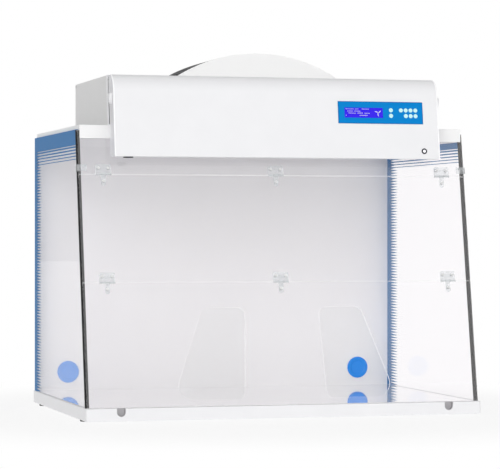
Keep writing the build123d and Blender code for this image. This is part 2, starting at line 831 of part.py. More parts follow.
def header_screws():
    """Flat-headed screws in the case's sides."""
    screw = Rot(0, 90, 0) * Cylinder(CASE_SCREW_RADIUS, CASE_SCREW_HEAD)
    x = header_outer_x + CASE_SCREW_HEAD / 2
    y = header_back - CASE_SCREW_FROM_BACK
    heights = (header_top_z - CASE_SCREW_FROM_TOP, frame_top_z + CASE_SCREW_FROM_FOOT)
    return both_sides(group([Pos(x, y, z) * screw for z in heights]))


# Header cover


def cover_outline():
    """The cover's section in the YZ plane: flat top, large roll, tilted face, lip turned back."""
    roll_z = header_top_z - COVER_ROLL
    tangent_z = roll_z + COVER_ROLL * math.sin(cover_tilt)
    roll_y = face_y(tangent_z) + COVER_ROLL * math.cos(cover_tilt)
    start = (ring_y(header_top_z) - COVER_TOP_GAP, header_top_z)
    top = (roll_y, header_top_z)
    tangent = (face_y(tangent_z), tangent_z)
    angle = math.radians(90) + (math.radians(90) - cover_tilt) / 2
    middle = (roll_y + COVER_ROLL * math.cos(angle), roll_z + COVER_ROLL * math.sin(angle))
    foot = (cover_foot_y, cover_bottom_z)
    lip = (cover_foot_y + COVER_LIP, cover_bottom_z)
    return start, top, middle, tangent, foot, lip


def cover_skin_face():
    """The closed section of the sheet."""
    start, top, middle, tangent, foot, lip = cover_outline()
    outer = Line(start, top) + ThreePointArc(top, middle, tangent)
    outer = outer + FilletPolyline(tangent, foot, lip, radius=COVER_LIP_RADIUS)
    return make_face(offset(outer, amount=SHEET, side=Side.LEFT))


def cover_skin():
    """The bent sheet between the cheeks, with the cut-outs for its fittings."""
    x = cheek_inner_x
    skin = extrude(Plane.YZ.offset(-x) * cover_skin_face(), amount=2 * x)
    ear_x = cheek_inner_x - EAR_FROM_CHEEK - EAR_THICK / 2
    y0 = ring_y(header_top_z) - COVER_NOTCH_DEPTH
    notch = block(ear_x - COVER_NOTCH / 2, x, y0, header_back, pivot_z, header_top_z + SHEET)
    skin = skin - notch - mirror(notch, about=Plane.YZ)
    x0 = plate_left
    x1 = plate_right
    s0 = PLATE_RISE
    s1 = PLATE_RISE + PLATE_HEIGHT
    edge = BOARD_WINDOW
    skin = skin - slab_on(face_plane, x0 + edge, x1 - edge, s0 + edge, s1 - edge, -2 * SHEET, SHEET)
    skin = skin - slab_on(face_plane, x0, x1, s0, s1, -PLATE_SEAT, SHEET)
    skin = skin - disc_on(face_plane, lock_x, LOCK_RISE, LOCK_BODY_RADIUS, -3 * SHEET, SHEET)
    port_place = Pos(port_x, cover_foot_y + COVER_LIP / 2 + 1.0, cover_bottom_z)
    port = port_place * Cylinder(PORT_BODY_RADIUS, 4 * SHEET)
    return skin - port


def cover_cheeks():
    """Clear end plates of the cover, which turn on the pivots."""
    start, top, middle, tangent, foot, lip = cover_outline()
    rear_foot = (window_y(cover_bottom_z) - 2 * CHEEK_GAP, cover_bottom_z)
    rear = [(fascia_y - CHEEK_GAP, frame_top_z), (ring_y(pivot_z) - CHEEK_GAP, pivot_z), start]
    edges = Line(start, top) + ThreePointArc(top, middle, tangent) + Line(tangent, foot)
    face = make_face(edges + Polyline(foot, rear_foot, *rear))
    corner = face.vertices().sort_by_distance((*rear_foot, 0))[0]
    face = fillet(corner, CHEEK_RADIUS)
    cheek = extrude(Plane.YZ.offset(cheek_inner_x) * face, amount=CHEEK_THICK)
    cheek = cheek - pivot_disc(0, ring_outer_x, PIVOT_RADIUS + PIN_RUNNING)
    return both_sides(cheek)


def cover_grips():
    """Leaf-shaped grips on the cheeks, rounded above and pointed below."""
    half = GRIP_WIDTH / 2
    foot = (0, -GRIP_HEIGHT + half)
    arc = ThreePointArc((-half, 0), (0, half), (half, 0))
    right = ThreePointArc((half, 0), (0.72 * half, foot[1] / 2), foot)
    left = ThreePointArc(foot, (-0.72 * half, foot[1] / 2), (-half, 0))
    face = make_face([arc, right, left])
    y = face_y(cover_bottom_z + GRIP_RISE) + GRIP_BACK + half
    seat = Plane.YZ.offset(cheek_outer_x) * Pos(y, cover_bottom_z + GRIP_RISE + GRIP_HEIGHT / 2 - half)
    grip = extrude(seat * face, amount=GRIP_PROUD, taper=18)
    return both_sides(grip)


def port_plug():
    """A soft plug in the cover's lower lip."""
    y = cover_foot_y + COVER_LIP / 2 + 1.0
    z = cover_bottom_z
    flange = Pos(port_x, y, z - PORT_PROUD / 2) * Cylinder(PORT_RADIUS, PORT_PROUD)
    flange = fillet(flange.edges().group_by(Axis.Z)[0], PORT_PROUD / 3)
    body = Pos(port_x, y, z + SHEET) * Cylinder(PORT_BODY_RADIUS, 2 * SHEET)
    return flange + body


# Control panel


def button_places():
    """Names and places of the nine buttons on the cover face."""
    high = [BUTTON_COLUMN] + [BUTTON_FIRST + BUTTON_PITCH * i for i in range(4)]
    low = [BUTTON_COLUMN] + [BUTTON_FIRST + BUTTON_PITCH * i for i in range(1, 4)]
    places = [(x, BUTTON_ROW_HIGH) for x in high] + [(x, BUTTON_ROW_LOW) for x in low]
    places = [(plate_left + x, PLATE_RISE + s) for x, s in places]
    return {f"button_{i + 1}": place for i, place in enumerate(places)}


def control_plate():
    """The keypad's front plate, with the display opening and nine round holes."""
    centre = Pos(plate_right - PLATE_WIDTH / 2, PLATE_RISE + PLATE_HEIGHT / 2)
    face = centre * RectangleRounded(PLATE_WIDTH, PLATE_HEIGHT, PLATE_CORNER / 3)
    centre = Pos(display_left + DISPLAY_WIDTH / 2, display_rise + DISPLAY_HEIGHT / 2)
    face = face - centre * Rectangle(DISPLAY_WIDTH, DISPLAY_HEIGHT)
    for x, s in button_places().values():
        face = face - Pos(x, s) * Circle(BUTTON_RADIUS + BUTTON_GAP)
    return extrude(face_plane.offset(-PLATE_SEAT) * face, amount=PLATE_SEAT + PLATE_PROUD)


def display_module():
    """The display's glass and the case behind it, down to the board."""
    x0 = display_left + DISPLAY_GAP
    x1 = display_left + DISPLAY_WIDTH - DISPLAY_GAP
    s0 = display_rise + DISPLAY_GAP
    s1 = display_rise + DISPLAY_HEIGHT - DISPLAY_GAP
    foot = -BOARD_DEPTH
    glass = slab_on(face_plane, x0, x1, s0, s1, foot, PLATE_PROUD - DISPLAY_SINK)
    rim = 4.0
    case = slab_on(face_plane, x0 - rim, x1 + rim, s0 - rim, s1 + rim, foot, foot + DISPLAY_DEPTH)
    return glass + case


def push_button(x, s):
    """A turned button: domed cap, skirt in the plate's hole and a stem towards its switch."""
    top = PLATE_PROUD + BUTTON_PROUD
    skirt = top - BUTTON_SKIRT
    foot = -BOARD_DEPTH + 2.0 + BUTTON_NEAR
    outline = Polyline(
        (0, top),
        (BUTTON_RADIUS - 1.0, top),
        (BUTTON_RADIUS, top - 0.8),
        (BUTTON_RADIUS, skirt),
        (BUTTON_STEM_RADIUS, skirt),
        (BUTTON_STEM_RADIUS, foot),
        (0, foot),
        close=True,
    )
    button = revolve(Plane.XZ * make_face(outline), Axis.Z)
    return face_plane * Pos(x, s, 0) * button


def control_board():
    """The circuit board behind the plate, with a switch under each button, on four stand-offs."""
    x0 = plate_left + BOARD_BORDER
    x1 = plate_right - BOARD_BORDER
    s0 = PLATE_RISE - BOARD_BORDER
    s1 = PLATE_RISE + PLATE_HEIGHT + BOARD_BORDER
    board = slab_on(face_plane, x0, x1, s0, s1, -BOARD_DEPTH - BOARD_THICK, -BOARD_DEPTH)
    for x, s in button_places().values():
        board = board + disc_on(face_plane, x, s, DOME_RADIUS, -BOARD_DEPTH, -BOARD_DEPTH + 2.0)
    return board


def board_standoffs():
    """Four round posts from the cover's skin to the board."""
    across = BOARD_BORDER + 2 * STANDOFF_RADIUS
    along = STANDOFF_RADIUS + 0.5 - BOARD_BORDER
    xs = (plate_left + across, plate_right - across)
    ss = (PLATE_RISE + along, PLATE_RISE + PLATE_HEIGHT - along)
    return group([disc_on(face_plane, x, s, STANDOFF_RADIUS, -BOARD_DEPTH, -SHEET) for x in xs for s in ss])


def lock_barrel():
    """The lock's fixed barrel with its flange and nut."""
    flange = disc_on(face_plane, lock_x, LOCK_RISE, LOCK_FLANGE_RADIUS, 0, LOCK_FLANGE)
    body = disc_on(face_plane, lock_x, LOCK_RISE, LOCK_BODY_RADIUS, -LOCK_BODY, LOCK_FLANGE)
    nut = on_plane(face_plane, lock_x, LOCK_RISE, LOCK_NUT, -SHEET - LOCK_NUT)
    nut = nut * extrude(RegularPolygon(LOCK_FLANGE_RADIUS + 1.0, 6), amount=LOCK_NUT / 2, both=True)
    bore_radius = LOCK_PLUG_RADIUS + LOCK_PLUG_GAP
    bore = disc_on(face_plane, lock_x, LOCK_RISE, bore_radius, -2 * LOCK_BODY, LOCK_BODY)
    return flange + body + nut - bore


def lock_plug():
    """The turning plug with its key slot, and the cam on its rear end."""
    front = LOCK_FLANGE
    n0 = -LOCK_BODY - LOCK_CAM_THICK - SOFT_GAP
    plug = disc_on(face_plane, lock_x, LOCK_RISE, LOCK_PLUG_RADIUS, n0, front)
    slot = slab_on(
        face_plane,
        lock_x - KEY_SLOT_WIDTH / 2,
        lock_x + KEY_SLOT_WIDTH / 2,
        LOCK_RISE - KEY_SLOT_LENGTH / 2,
        LOCK_RISE + KEY_SLOT_LENGTH / 2,
        front - 3.0,
        front + 1.0,
    )
    half = LOCK_CAM_WIDTH / 2
    cam = SlotOverall(LOCK_CAM_LENGTH + half, LOCK_CAM_WIDTH)
    cam = Pos(lock_x - (LOCK_CAM_LENGTH - half) / 2, LOCK_RISE) * cam
    cam = extrude(face_plane.offset(n0) * cam, amount=LOCK_CAM_THICK)
    return plug - slot + cam


def lock_strike():
    """A folded bracket on the fascia that the cam turns behind."""
    x0 = lock_x - STRIKE_WIDTH / 2
    x1 = lock_x + STRIKE_WIDTH / 2
    y0 = fascia_y - STRIKE_REACH
    z1 = frame_bottom_z + LAMP_RISE
    foot = block(x0, x1, fascia_y - SHEET, fascia_y, frame_bottom_z, z1)
    shelf = block(x0, x1, y0, fascia_y, frame_bottom_z, frame_bottom_z + SHEET)
    lip = block(x0, x1, y0, y0 + SHEET, frame_bottom_z - STRIKE_DROP, frame_bottom_z + SHEET)
    return foot + shelf + lip


# Lamp


def lamp_housing():
    """A channel on the fascia that holds the lamp tube, open downwards."""
    x = lamp_half
    y0 = fascia_y - LAMP_DEPTH
    z0 = frame_bottom_z + LAMP_RISE
    z1 = z0 + LAMP_HEIGHT
    w = LAMP_WALL
    outer = block(-x, x, y0, fascia_y, z0, z1)
    return outer - block(-x + w, x - w, y0 + w, fascia_y - w, z0 - w, z1 - w)


def lamp_tube():
    """The light tube between the channel's ends."""
    length = 2 * (lamp_half - LAMP_WALL)
    y = fascia_y - LAMP_DEPTH / 2
    z = frame_bottom_z + LAMP_RISE + LAMP_HEIGHT - LAMP_WALL - LAMP_TUBE_RADIUS - 1.0
    return Pos(0, y, z) * Rot(0, 90, 0) * Cylinder(LAMP_TUBE_RADIUS, length)


# Exhaust cowl


def cowl_section(radius):
    """A segment of a circle that stands on the header's top."""
    circle = Pos(0, cowl_centre_z) * Circle(radius)
    cut = Pos(0, header_top_z - COWL_RADIUS) * Rectangle(4 * COWL_RADIUS, 2 * COWL_RADIUS)
    return circle - cut


def cowl_slice(radius, y0, y1):
    """The segment carried from y0 to y1."""
    return extrude(Plane.XZ.offset(-y1) * cowl_section(radius), amount=y1 - y0)


def cowl_end_plates():
    """The white plates at the cowl's front and back, each with a flange turned in along its foot."""
    x = cowl_half - 4 * COWL_FLANGE
    front = cowl_slice(COWL_RADIUS, cowl_front, cowl_front + SHEET)
    front = front + block(-x, x, cowl_front, cowl_front + COWL_FLANGE, header_top_z, header_top_z + SHEET)
    middle = Plane.XZ.offset(-(cowl_front + cowl_back) / 2)
    return group([front, mirror(front, about=middle)])


def cowl_grille():
    """The arched sheet between the end plates, pierced with rows of slots."""
    y0 = cowl_front + SHEET
    y1 = cowl_back - SHEET
    arch = cowl_slice(COWL_RADIUS, y0, y1) - cowl_slice(COWL_RADIUS - SHEET, y0, y1)
    span = 2 * math.degrees(math.asin(cowl_half / COWL_RADIUS))
    room = y1 - y0 - 2 * SLOT_BORDER - (SLOT_ROWS - 1) * SLOT_BRIDGE
    length = room / SLOT_ROWS
    cutters = []
    for row in range(SLOT_ROWS):
        y = y0 + SLOT_BORDER + length / 2 + row * (length + SLOT_BRIDGE)
        for column in range(SLOT_COLUMNS):
            angle = span * ((column + 1) / (SLOT_COLUMNS + 1) - 0.5)
            slot = Pos(0, 0, COWL_RADIUS) * Box(SLOT_WIDTH, length, 6 * SHEET)
            cutters.append(Pos(0, y, cowl_centre_z) * Rot(0, angle, 0) * slot)
    return arch - cutters


# Filters


def filter_block(inset, z0, z1):
    """The main filter's rectangle, drawn in on each side, from z0 to z1."""
    x = filter_x - inset
    return block(-x, x, filter_front + inset, filter_back - inset, z0, z1)


def filter_seal():
    """The foam ring between the ceiling and the main filter."""
    ring = filter_block(0, frame_top_z, seal_top_z)
    return ring - filter_block(SEAL_BAND, frame_top_z - SHEET, seal_top_z + SHEET)


def prefilter():
    """The fibre mat over the ceiling's opening, inside the foam ring."""
    return filter_block(SEAL_BAND + PREFILTER_EASE, frame_top_z, frame_top_z + PREFILTER_THICK)


def filter_frame():
    """The main filter's frame with bars across its top and bottom."""
    frame = filter_block(0, seal_top_z, filter_top_z)
    frame = frame - filter_block(FILTER_WALL, seal_top_z - SHEET, filter_top_z + SHEET)
    x = filter_x - FILTER_WALL
    y0 = filter_front + FILTER_WALL
    y1 = filter_back - FILTER_WALL
    b = FILTER_BAR / 2
    for i in range(1, FILTER_BARS + 1):
        bar_x = -x + 2 * x * i / (FILTER_BARS + 1)
        for z in (seal_top_z, filter_top_z - SHEET):
            frame = frame + block(bar_x - b, bar_x + b, y0, y1, z, z + SHEET)
    return frame


def carbon_bed():
    """The bed of carbon granules inside the filter's frame."""
    return filter_block(FILTER_WALL, seal_top_z + SHEET, filter_top_z - SHEET)


def filter_wedges():
    """Tapered bars between the filter and the fan deck that press the filter down."""
    nose = DECK_ABOVE_FILTER / 3
    points = [
        (filter_front - WEDGE_GRIP, filter_top_z),
        (filter_back, filter_top_z),
        (filter_back, filter_top_z + nose),
        ((filter_front + filter_back) / 2, deck_z),
        (filter_front - WEDGE_GRIP, deck_z),
    ]
    return both_sides(side_outline(points, filter_x - WEDGE_WIDTH, filter_x))


# Fan


def fan_deck():
    """The plate that carries the fan, its edges turned down against the case."""
    y0 = ring_y(deck_z) + RING_DEPTH + 1.0
    y1 = header_back - SHEET
    x = header_inner_x
    deck = block(-x, x, y0, y1, deck_z, deck_z + SHEET)
    for x0 in (-x, x - SHEET):
        deck = deck + block(x0, x0 + SHEET, y0, y1, deck_z - DECK_SKIRT, deck_z)
    hole = Pos(0, fan_y, deck_z) * Cylinder(IMPELLER_EYE + INLET_LIP, 4 * SHEET)
    return deck - hole


def inlet_ring():
    """A bell-mouthed ring that leads the air from the deck into the impeller."""
    outer = IMPELLER_EYE + INLET_LIP
    throat = IMPELLER_EYE - INLET_GAP - SHEET
    top = impeller_z + INLET_RING_RISE
    flange = INLET_RING_FLANGE
    z = deck_z + SHEET
    outline = [
        Polyline((outer + flange, z), (outer + flange, z + SHEET), (outer - 2.0, z + SHEET)),
        ThreePointArc((outer - 2.0, z + SHEET), (throat + SHEET + 4.0, z + 5.0), (throat + SHEET, top)),
        Polyline((throat + SHEET, top), (throat, top)),
        ThreePointArc((throat, top), (throat + 4.0, z + 2.6), (outer - 4.0, z - 0.5)),
        Polyline((outer - 4.0, z - 0.5), (outer - 4.0, z), (outer + flange, z)),
    ]
    ring = revolve(Plane.XZ * make_face(outline), Axis.Z)
    return Pos(0, fan_y, 0) * ring


def impeller_blade():
    """One backward-curved blade between the shroud and the back plate, in plan an arc."""
    inner = Vector(BLADE_START, 0)
    sweep = math.radians(BLADE_SWEEP)
    outer = Vector(math.cos(sweep), math.sin(sweep)) * (IMPELLER_RADIUS - BLADE_EDGE)
    centre = (inner + outer) / 2
    across = Vector(outer.Y - inner.Y, inner.X - outer.X).normalized()
    middle = centre + across * BLADE_BULGE
    arc = ThreePointArc(inner, middle, outer)
    face = make_face(offset(arc, amount=BLADE_THICK, side=Side.LEFT))
    height = IMPELLER_HEIGHT - IMPELLER_SHEET
    return extrude(face, amount=height)


def shroud_profile(z0, z1):
    """Closed section between the shroud's cone and a height above it, used to trim the blades."""
    rim = IMPELLER_RADIUS + IMPELLER_SHEET
    return Polyline(
        (IMPELLER_EYE, z0),
        (rim, z0 + SHROUD_RISE),
        (rim, z1),
        (IMPELLER_EYE, z1),
        close=True,
    )


def fan_impeller():
    """Backward-curved wheel: conical shroud below, flat back plate above, blades between."""
    t = IMPELLER_SHEET
    shroud = Polyline(
        (IMPELLER_EYE, 0),
        (IMPELLER_EYE, t),
        (IMPELLER_RADIUS, SHROUD_RISE + t),
        (IMPELLER_RADIUS, SHROUD_RISE),
        close=True,
    )
    shroud = revolve(Plane.XZ * make_face(shroud), Axis.Z)
    plate = Pos(0, 0, IMPELLER_HEIGHT - t / 2) * Cylinder(IMPELLER_RADIUS, t)
    keep = revolve(Plane.XZ * make_face(shroud_profile(t / 2, IMPELLER_HEIGHT - t / 2)), Axis.Z)
    blade = impeller_blade() & keep
    wheel = shroud + plate
    for i in range(BLADES):
        wheel = wheel + Rot(0, 0, 360 / BLADES * i) * blade
    wheel = wheel - Pos(0, 0, IMPELLER_HEIGHT) * Cylinder(ROTOR_RADIUS, 4 * t)
    return Pos(0, fan_y, impeller_z) * wheel


def fan_rotor():
    """The motor's outer can with its shaft, fast in the impeller's back plate."""
    outline = Polyline(
        (0, 0),
        (ROTOR_RADIUS - 4.0, 0),
        (ROTOR_RADIUS, 4.0),
        (ROTOR_RADIUS, ROTOR_HEIGHT),
        (ROTOR_RADIUS - ROTOR_WALL, ROTOR_HEIGHT),
        (ROTOR_RADIUS - ROTOR_WALL, ROTOR_WALL),
        (FAN_SHAFT_RADIUS, ROTOR_WALL),
        (FAN_SHAFT_RADIUS, ROTOR_HEIGHT),
        (0, ROTOR_HEIGHT),
        close=True,
    )
    return Pos(0, fan_y, rotor_z) * revolve(Plane.XZ * make_face(outline), Axis.Z)


def fan_stator():
    """The motor's fixed winding stack on its flange, round the shaft."""
    stack_radius = ROTOR_RADIUS - ROTOR_WALL - ROTOR_GAP
    bore = FAN_SHAFT_RADIUS + FAN_SHAFT_GAP
    stack_foot = rotor_z + ROTOR_WALL + ROTOR_GAP
    flange_z = rotor_top_z + ROTOR_GAP
    outline = Polyline(
        (bore, stack_foot),
        (stack_radius, stack_foot),
        (stack_radius, flange_z),
        (ROTOR_RADIUS, flange_z),
        (ROTOR_RADIUS, flange_z + STATOR_FLANGE),
        (bore, flange_z + STATOR_FLANGE),
        close=True,
    )
    return Pos(0, fan_y, 0) * revolve(Plane.XZ * make_face(outline), Axis.Z)


def motor_bridge():
    """A folded strap over the fan that carries the stator from the header's top."""
    foot = header_top_z
    points = [
        (-BRIDGE_FOOT_X, foot),
        (-BRIDGE_LEG_X, foot),
        (-BRIDGE_TOP_X, stator_top_z),
        (BRIDGE_TOP_X, stator_top_z),
        (BRIDGE_LEG_X, foot),
        (BRIDGE_FOOT_X, foot),
    ]
    path = FilletPolyline(*points, radius=[6.0] * 4)
    section = make_face(offset(path, amount=SHEET, side=Side.LEFT))
    strap = extrude(Plane.XZ.offset(-fan_y) * section, amount=BRIDGE_WIDTH / 2, both=True)
    return strap


# Power


def power_supply():
    """The supply's closed box with cooling slots in its lid, on the fan deck."""
    x0 = supply_x - SUPPLY_WIDTH / 2
    y0 = supply_y - SUPPLY_DEPTH / 2
    z0 = deck_z + SHEET
    box = block(x0, x0 + SUPPLY_WIDTH, y0, y0 + SUPPLY_DEPTH, z0, z0 + SUPPLY_HEIGHT)
    z1 = z0 + SUPPLY_HEIGHT
    slot_y0 = y0 + SUPPLY_SLOT_EDGE
    slot_y1 = y0 + SUPPLY_DEPTH - SUPPLY_SLOT_EDGE
    for i in range(SUPPLY_SLOTS):
        x = x0 + SUPPLY_WIDTH * (i + 1) / (SUPPLY_SLOTS + 1)
        box = box - block(x - SHEET, x + SHEET, slot_y0, slot_y1, z1 - SHEET, z1)
    return box


def inlet_block(grow, y0, y1):
    """The inlet's rectangle, grown on each side, from y0 to y1."""
    z = frame_top_z + INLET_RISE
    w = INLET_WIDTH / 2 + grow
    h = INLET_HEIGHT / 2 + grow
    return block(inlet_x - w, inlet_x + w, y0, y1, z - h, z + h)


def power_inlet():
    """The three-pin appliance inlet in the back of the case."""
    z = frame_top_z + INLET_RISE
    flange = inlet_block(INLET_FLANGE_EDGE, header_back, header_back + INLET_FLANGE)
    y0 = header_back - INLET_DEPTH
    body = inlet_block(0, y0, header_back)
    wide = INLET_WIDTH - 2 * INLET_WALL
    high = INLET_HEIGHT - 2 * INLET_WALL
    socket = Pos(inlet_x, z) * RectangleRounded(wide, high, INLET_WALL * 0.75)
    socket = extrude(Plane.XZ.offset(-header_back - INLET_FLANGE) * socket, amount=INLET_DEPTH - INLET_WALL)
    inlet = flange + body - socket
    thick = INLET_PIN_THICK / 2
    tall = INLET_PIN_WIDE / 2
    for column in (-1, 0, 1):
        x = inlet_x + INLET_PIN_PITCH * column
        pin_z = z + INLET_PIN_STEP * (1 - 2 * abs(column))
        pin = block(x - thick, x + thick, y0 + INLET_WALL, header_back - 1.0, pin_z - tall, pin_z + tall)
        inlet = inlet + pin
    return inlet


def nodes():
    """Every piece under its own name."""
    fixed_screws = screws_above(upper_joint_s)
    middle_screws = screws_below(upper_joint_s) + screws_above(lower_joint_s)
    lower_screws = screws_below(lower_joint_s)
    parts = {
        "base_slab": base_slab(),
        "base_feet": base_feet(),
        "finger_cups": finger_cups(),
        "worktop": worktop(),
        "side_panel_right": side_panel(),
        "side_panel_left": mirror(side_panel(), about=Plane.YZ),
        "window_seals": group([both_sides(side_seal()), head_seal()]),
        "back_panel": back_panel(),
        "service_plugs": group([service_plug(-plug_x), service_plug(plug_x)]),
        "top_frame": top_frame(),
        "ceiling_grille": ceiling_grille(),
        "window_upper": window_upper(),
        "window_middle": window_middle(),
        "window_lower": window_lower(),
        "hinge_leaves_upper": along_hinges(hinge_upper_leaf(upper_joint_s)),
        "hinge_tails_upper": along_hinges(hinge_lower_leaf(upper_joint_s)),
        "hinge_leaves_lower": along_hinges(hinge_upper_leaf(lower_joint_s)),
        "hinge_tails_lower": along_hinges(hinge_lower_leaf(lower_joint_s)),
        "hinge_fasteners_upper": group([hinge_pins(upper_joint_s), hinge_screws(fixed_screws)]),
        "hinge_fasteners_middle": group([hinge_pins(lower_joint_s), hinge_screws(middle_screws)]),
        "hinge_fasteners_lower": hinge_screws(lower_screws),
        "window_clips": window_clips(),
        "header_case": header_case(),
        "header_ring": header_ring(),
        "header_fasteners": group([header_screws(), cover_pivots()]),
        "cover_skin": cover_skin(),
        "cover_cheeks": cover_cheeks(),
        "cover_grips": cover_grips(),
        "port_plug": port_plug(),
        "control_plate": control_plate(),
        "display_module": display_module(),
        "control_board": group([control_board(), board_standoffs()]),
        "lock_barrel": lock_barrel(),
        "lock_plug": lock_plug(),
        "lock_strike": lock_strike(),
        "lamp_housing": lamp_housing(),
        "lamp_tube": lamp_tube(),
        "cowl_end_plates": cowl_end_plates(),
        "cowl_grille": cowl_grille(),
        "filter_seal": filter_seal(),
        "prefilter": prefilter(),
        "carbon_filter": group([filter_frame(), carbon_bed()]),
        "filter_wedges": filter_wedges(),
        "fan_deck": fan_deck(),
        "inlet_ring": inlet_ring(),
        "fan_impeller": fan_impeller(),
        "fan_rotor": fan_rotor(),
        "fan_stator": fan_stator(),
        "motor_bridge": motor_bridge(),
        "power_supply": power_supply(),
        "power_inlet": power_inlet(),
    }
    for name, (x, s) in button_places().items():
        parts[name] = push_button(x, s)
    return parts


def main():
    os.makedirs("parts", exist_ok=True)
    for name, shape in nodes().items():
        export_step(shape, f"parts/{name}.step")
        print(name, len(shape.solids()), round(shape.volume / 1000, 2))
    print("pivot", round(pivot_y, 3), round(pivot_z, 3))
    for name, s in (("upper", upper_joint_s), ("lower", lower_joint_s)):
        axis = (window_plane * Pos(0, s, KNUCKLE_LIFT)).position
        print("joint", name, round(axis.Y, 3), round(axis.Z, 3))


main()
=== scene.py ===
"""Finishes a packed ductless fume hood: its clear and painted materials, its turned pieces and its studio.

The CAD nodes load at the top as a fixed frame, in metres. Each operator below finishes one group of pieces.
"""

import math

import bmesh
import bpy
import numpy as np
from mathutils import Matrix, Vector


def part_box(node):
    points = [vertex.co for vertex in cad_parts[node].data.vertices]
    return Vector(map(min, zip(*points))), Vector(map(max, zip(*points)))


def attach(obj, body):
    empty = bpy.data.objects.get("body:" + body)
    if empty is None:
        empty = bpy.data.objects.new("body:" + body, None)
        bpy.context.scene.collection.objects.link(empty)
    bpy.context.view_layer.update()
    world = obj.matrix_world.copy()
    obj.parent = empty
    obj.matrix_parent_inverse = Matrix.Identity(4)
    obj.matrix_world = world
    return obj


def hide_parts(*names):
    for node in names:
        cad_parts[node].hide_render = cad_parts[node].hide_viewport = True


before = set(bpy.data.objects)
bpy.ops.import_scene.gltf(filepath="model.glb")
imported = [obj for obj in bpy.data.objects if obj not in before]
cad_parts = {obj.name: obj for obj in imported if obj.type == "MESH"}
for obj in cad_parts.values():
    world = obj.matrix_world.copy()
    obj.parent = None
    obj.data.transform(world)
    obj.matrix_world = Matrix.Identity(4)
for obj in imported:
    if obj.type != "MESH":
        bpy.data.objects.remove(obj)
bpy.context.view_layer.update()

bl_info = {
    "name": "Ductless Fume Hood",
    "version": (1, 0, 0),
    "blender": (4, 5, 0),
    "location": "View3D > Sidebar > Fume Hood",
    "description": "Builds the finishes, small fittings and studio of a benchtop fume hood",
    "category": "Object",
}

MM = 0.001
WHITE = (1.0, 1.0, 1.0, 1.0)

# Planes that fittings stand on: the window's outer face and the cover's outer face, both leaning back
WINDOW_TILT = math.radians(10.0)
WINDOW_FOOT = np.array([0.0, -0.405, 0.045])
COVER_TILT = math.radians(7.6)
COVER_FOOT = np.array([0.0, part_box("cover_skin")[0].y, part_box("cover_skin")[0].z])

# The window's hinges: distance of the outer ones from the middle, and the two joints' heights up the slope
HINGE_SPREAD = 523.0 * MM
LOWER_JOINT = 364.0 * MM
UPPER_JOINT = 683.5 * MM
SCREW_PAIR = 14.5 * MM
SCREW_ABOVE = 18.0 * MM
SCREW_BELOW = 20.0 * MM
LEAF_LIFT = 5.6 * MM
PIN_LIFT = 4.5 * MM
PIN_HALF = 23.0 * MM
PIN_RADIUS = 1.6 * MM
WINDOW_BACK = 5.0 * MM

# The keypad's button caps and the display's marks
CAP_RADIUS = 6.4 * MM
CAP_PROUD = 2.2 * MM
MARK_LIFT = 1.3 * MM
FAN_SIGN = (308.5 * MM, 139.2 * MM)

FOOT_RADIUS = 20.0 * MM

# Brightness of the room: as light, in mirrors, and in the soft box that only mirrors see
ROOM_LIGHT = 0.42
ROOM_MIRRORED = 0.56
BOX_MIRRORED = 1.7
BOX_TOWARDS = (0.275, -0.899, 0.342)

# Camera fitted to the photograph's straight edges
PHOTO_WIDTH = 500
FOCAL_PIXELS = 2349.81
SENSOR = 36.0
EYE = (-1.94386, -6.99829, 0.54289)
EYE_TURN = math.radians(-15.53)


def linear(text):
    """The linear colour of an sRGB hex text, by the sRGB curve for each channel."""
    values = np.array([int(text[i : i + 2], 16) for i in (1, 3, 5)]) / 255.0
    low = values / 12.92
    high = ((values + 0.055) / 1.055) ** 2.4
    return tuple(float(v) for v in np.where(values <= 0.04045, low, high))


def rgba(colour):
    """A colour property as the four numbers that a socket takes."""
    return (colour[0], colour[1], colour[2], 1.0)


# Materials


def add_node(tree, kind, inputs=None, **settings):
    """One node with its settings. An input is a value, or another node's output to link."""
    node = tree.nodes.new(kind)
    for key, value in settings.items():
        setattr(node, key, value)
    for key, value in (inputs or {}).items():
        if isinstance(value, bpy.types.NodeSocket):
            tree.links.new(value, node.inputs[key])
        else:
            node.inputs[key].default_value = value
    return node


def new_material(name):
    """An empty material, its node tree and the tree's output node."""
    material = bpy.data.materials.new(name)
    material.use_nodes = True
    tree = material.node_tree
    tree.nodes.clear()
    return material, tree, tree.nodes.new("ShaderNodeOutputMaterial")


def maths(tree, operation, *values):
    """One step of arithmetic on values or outputs."""
    return add_node(tree, "ShaderNodeMath", dict(enumerate(values)), operation=operation).outputs[0]


def mixed(tree, fac, first, second):
    """One shader turned into another as fac goes from 0 to 1."""
    return add_node(tree, "ShaderNodeMixShader", {0: fac, 1: first, 2: second}).outputs[0]


def blended(tree, fac, first, second):
    """One colour turned into another as fac goes from 0 to 1."""
    return add_node(tree, "ShaderNodeMix", {0: fac, 6: first, 7: second}, data_type="RGBA").outputs[2]


def ramp(tree, value, start, end, low=0.0, high=1.0, kind="LINEAR"):
    """A value between start and end mapped to low to high, and held beyond them."""
    inputs = {"Value": value, "From Min": start, "From Max": end, "To Min": low, "To Max": high}
    return add_node(tree, "ShaderNodeMapRange", inputs, interpolation_type=kind).outputs["Result"]


def split(tree, vector):
    """The three parts of a vector."""
    return add_node(tree, "ShaderNodeSeparateXYZ", {0: vector}).outputs


def object_place(tree):
    """The Object coordinates, in metres."""
    return tree.nodes.new("ShaderNodeTexCoord").outputs["Object"]


def noise_at(tree, size, detail=3.0, place=None):
    """Noise whose lumps are about size metres across."""
    inputs = {"Vector": place or object_place(tree), "Scale": 1.0 / size, "Detail": detail}
    return add_node(tree, "ShaderNodeTexNoise", inputs).outputs["Fac"]


def between(tree, fac, low, high):
    """A 0 to 1 value mapped to low to high."""
    return ramp(tree, fac, 0.0, 1.0, low, high)


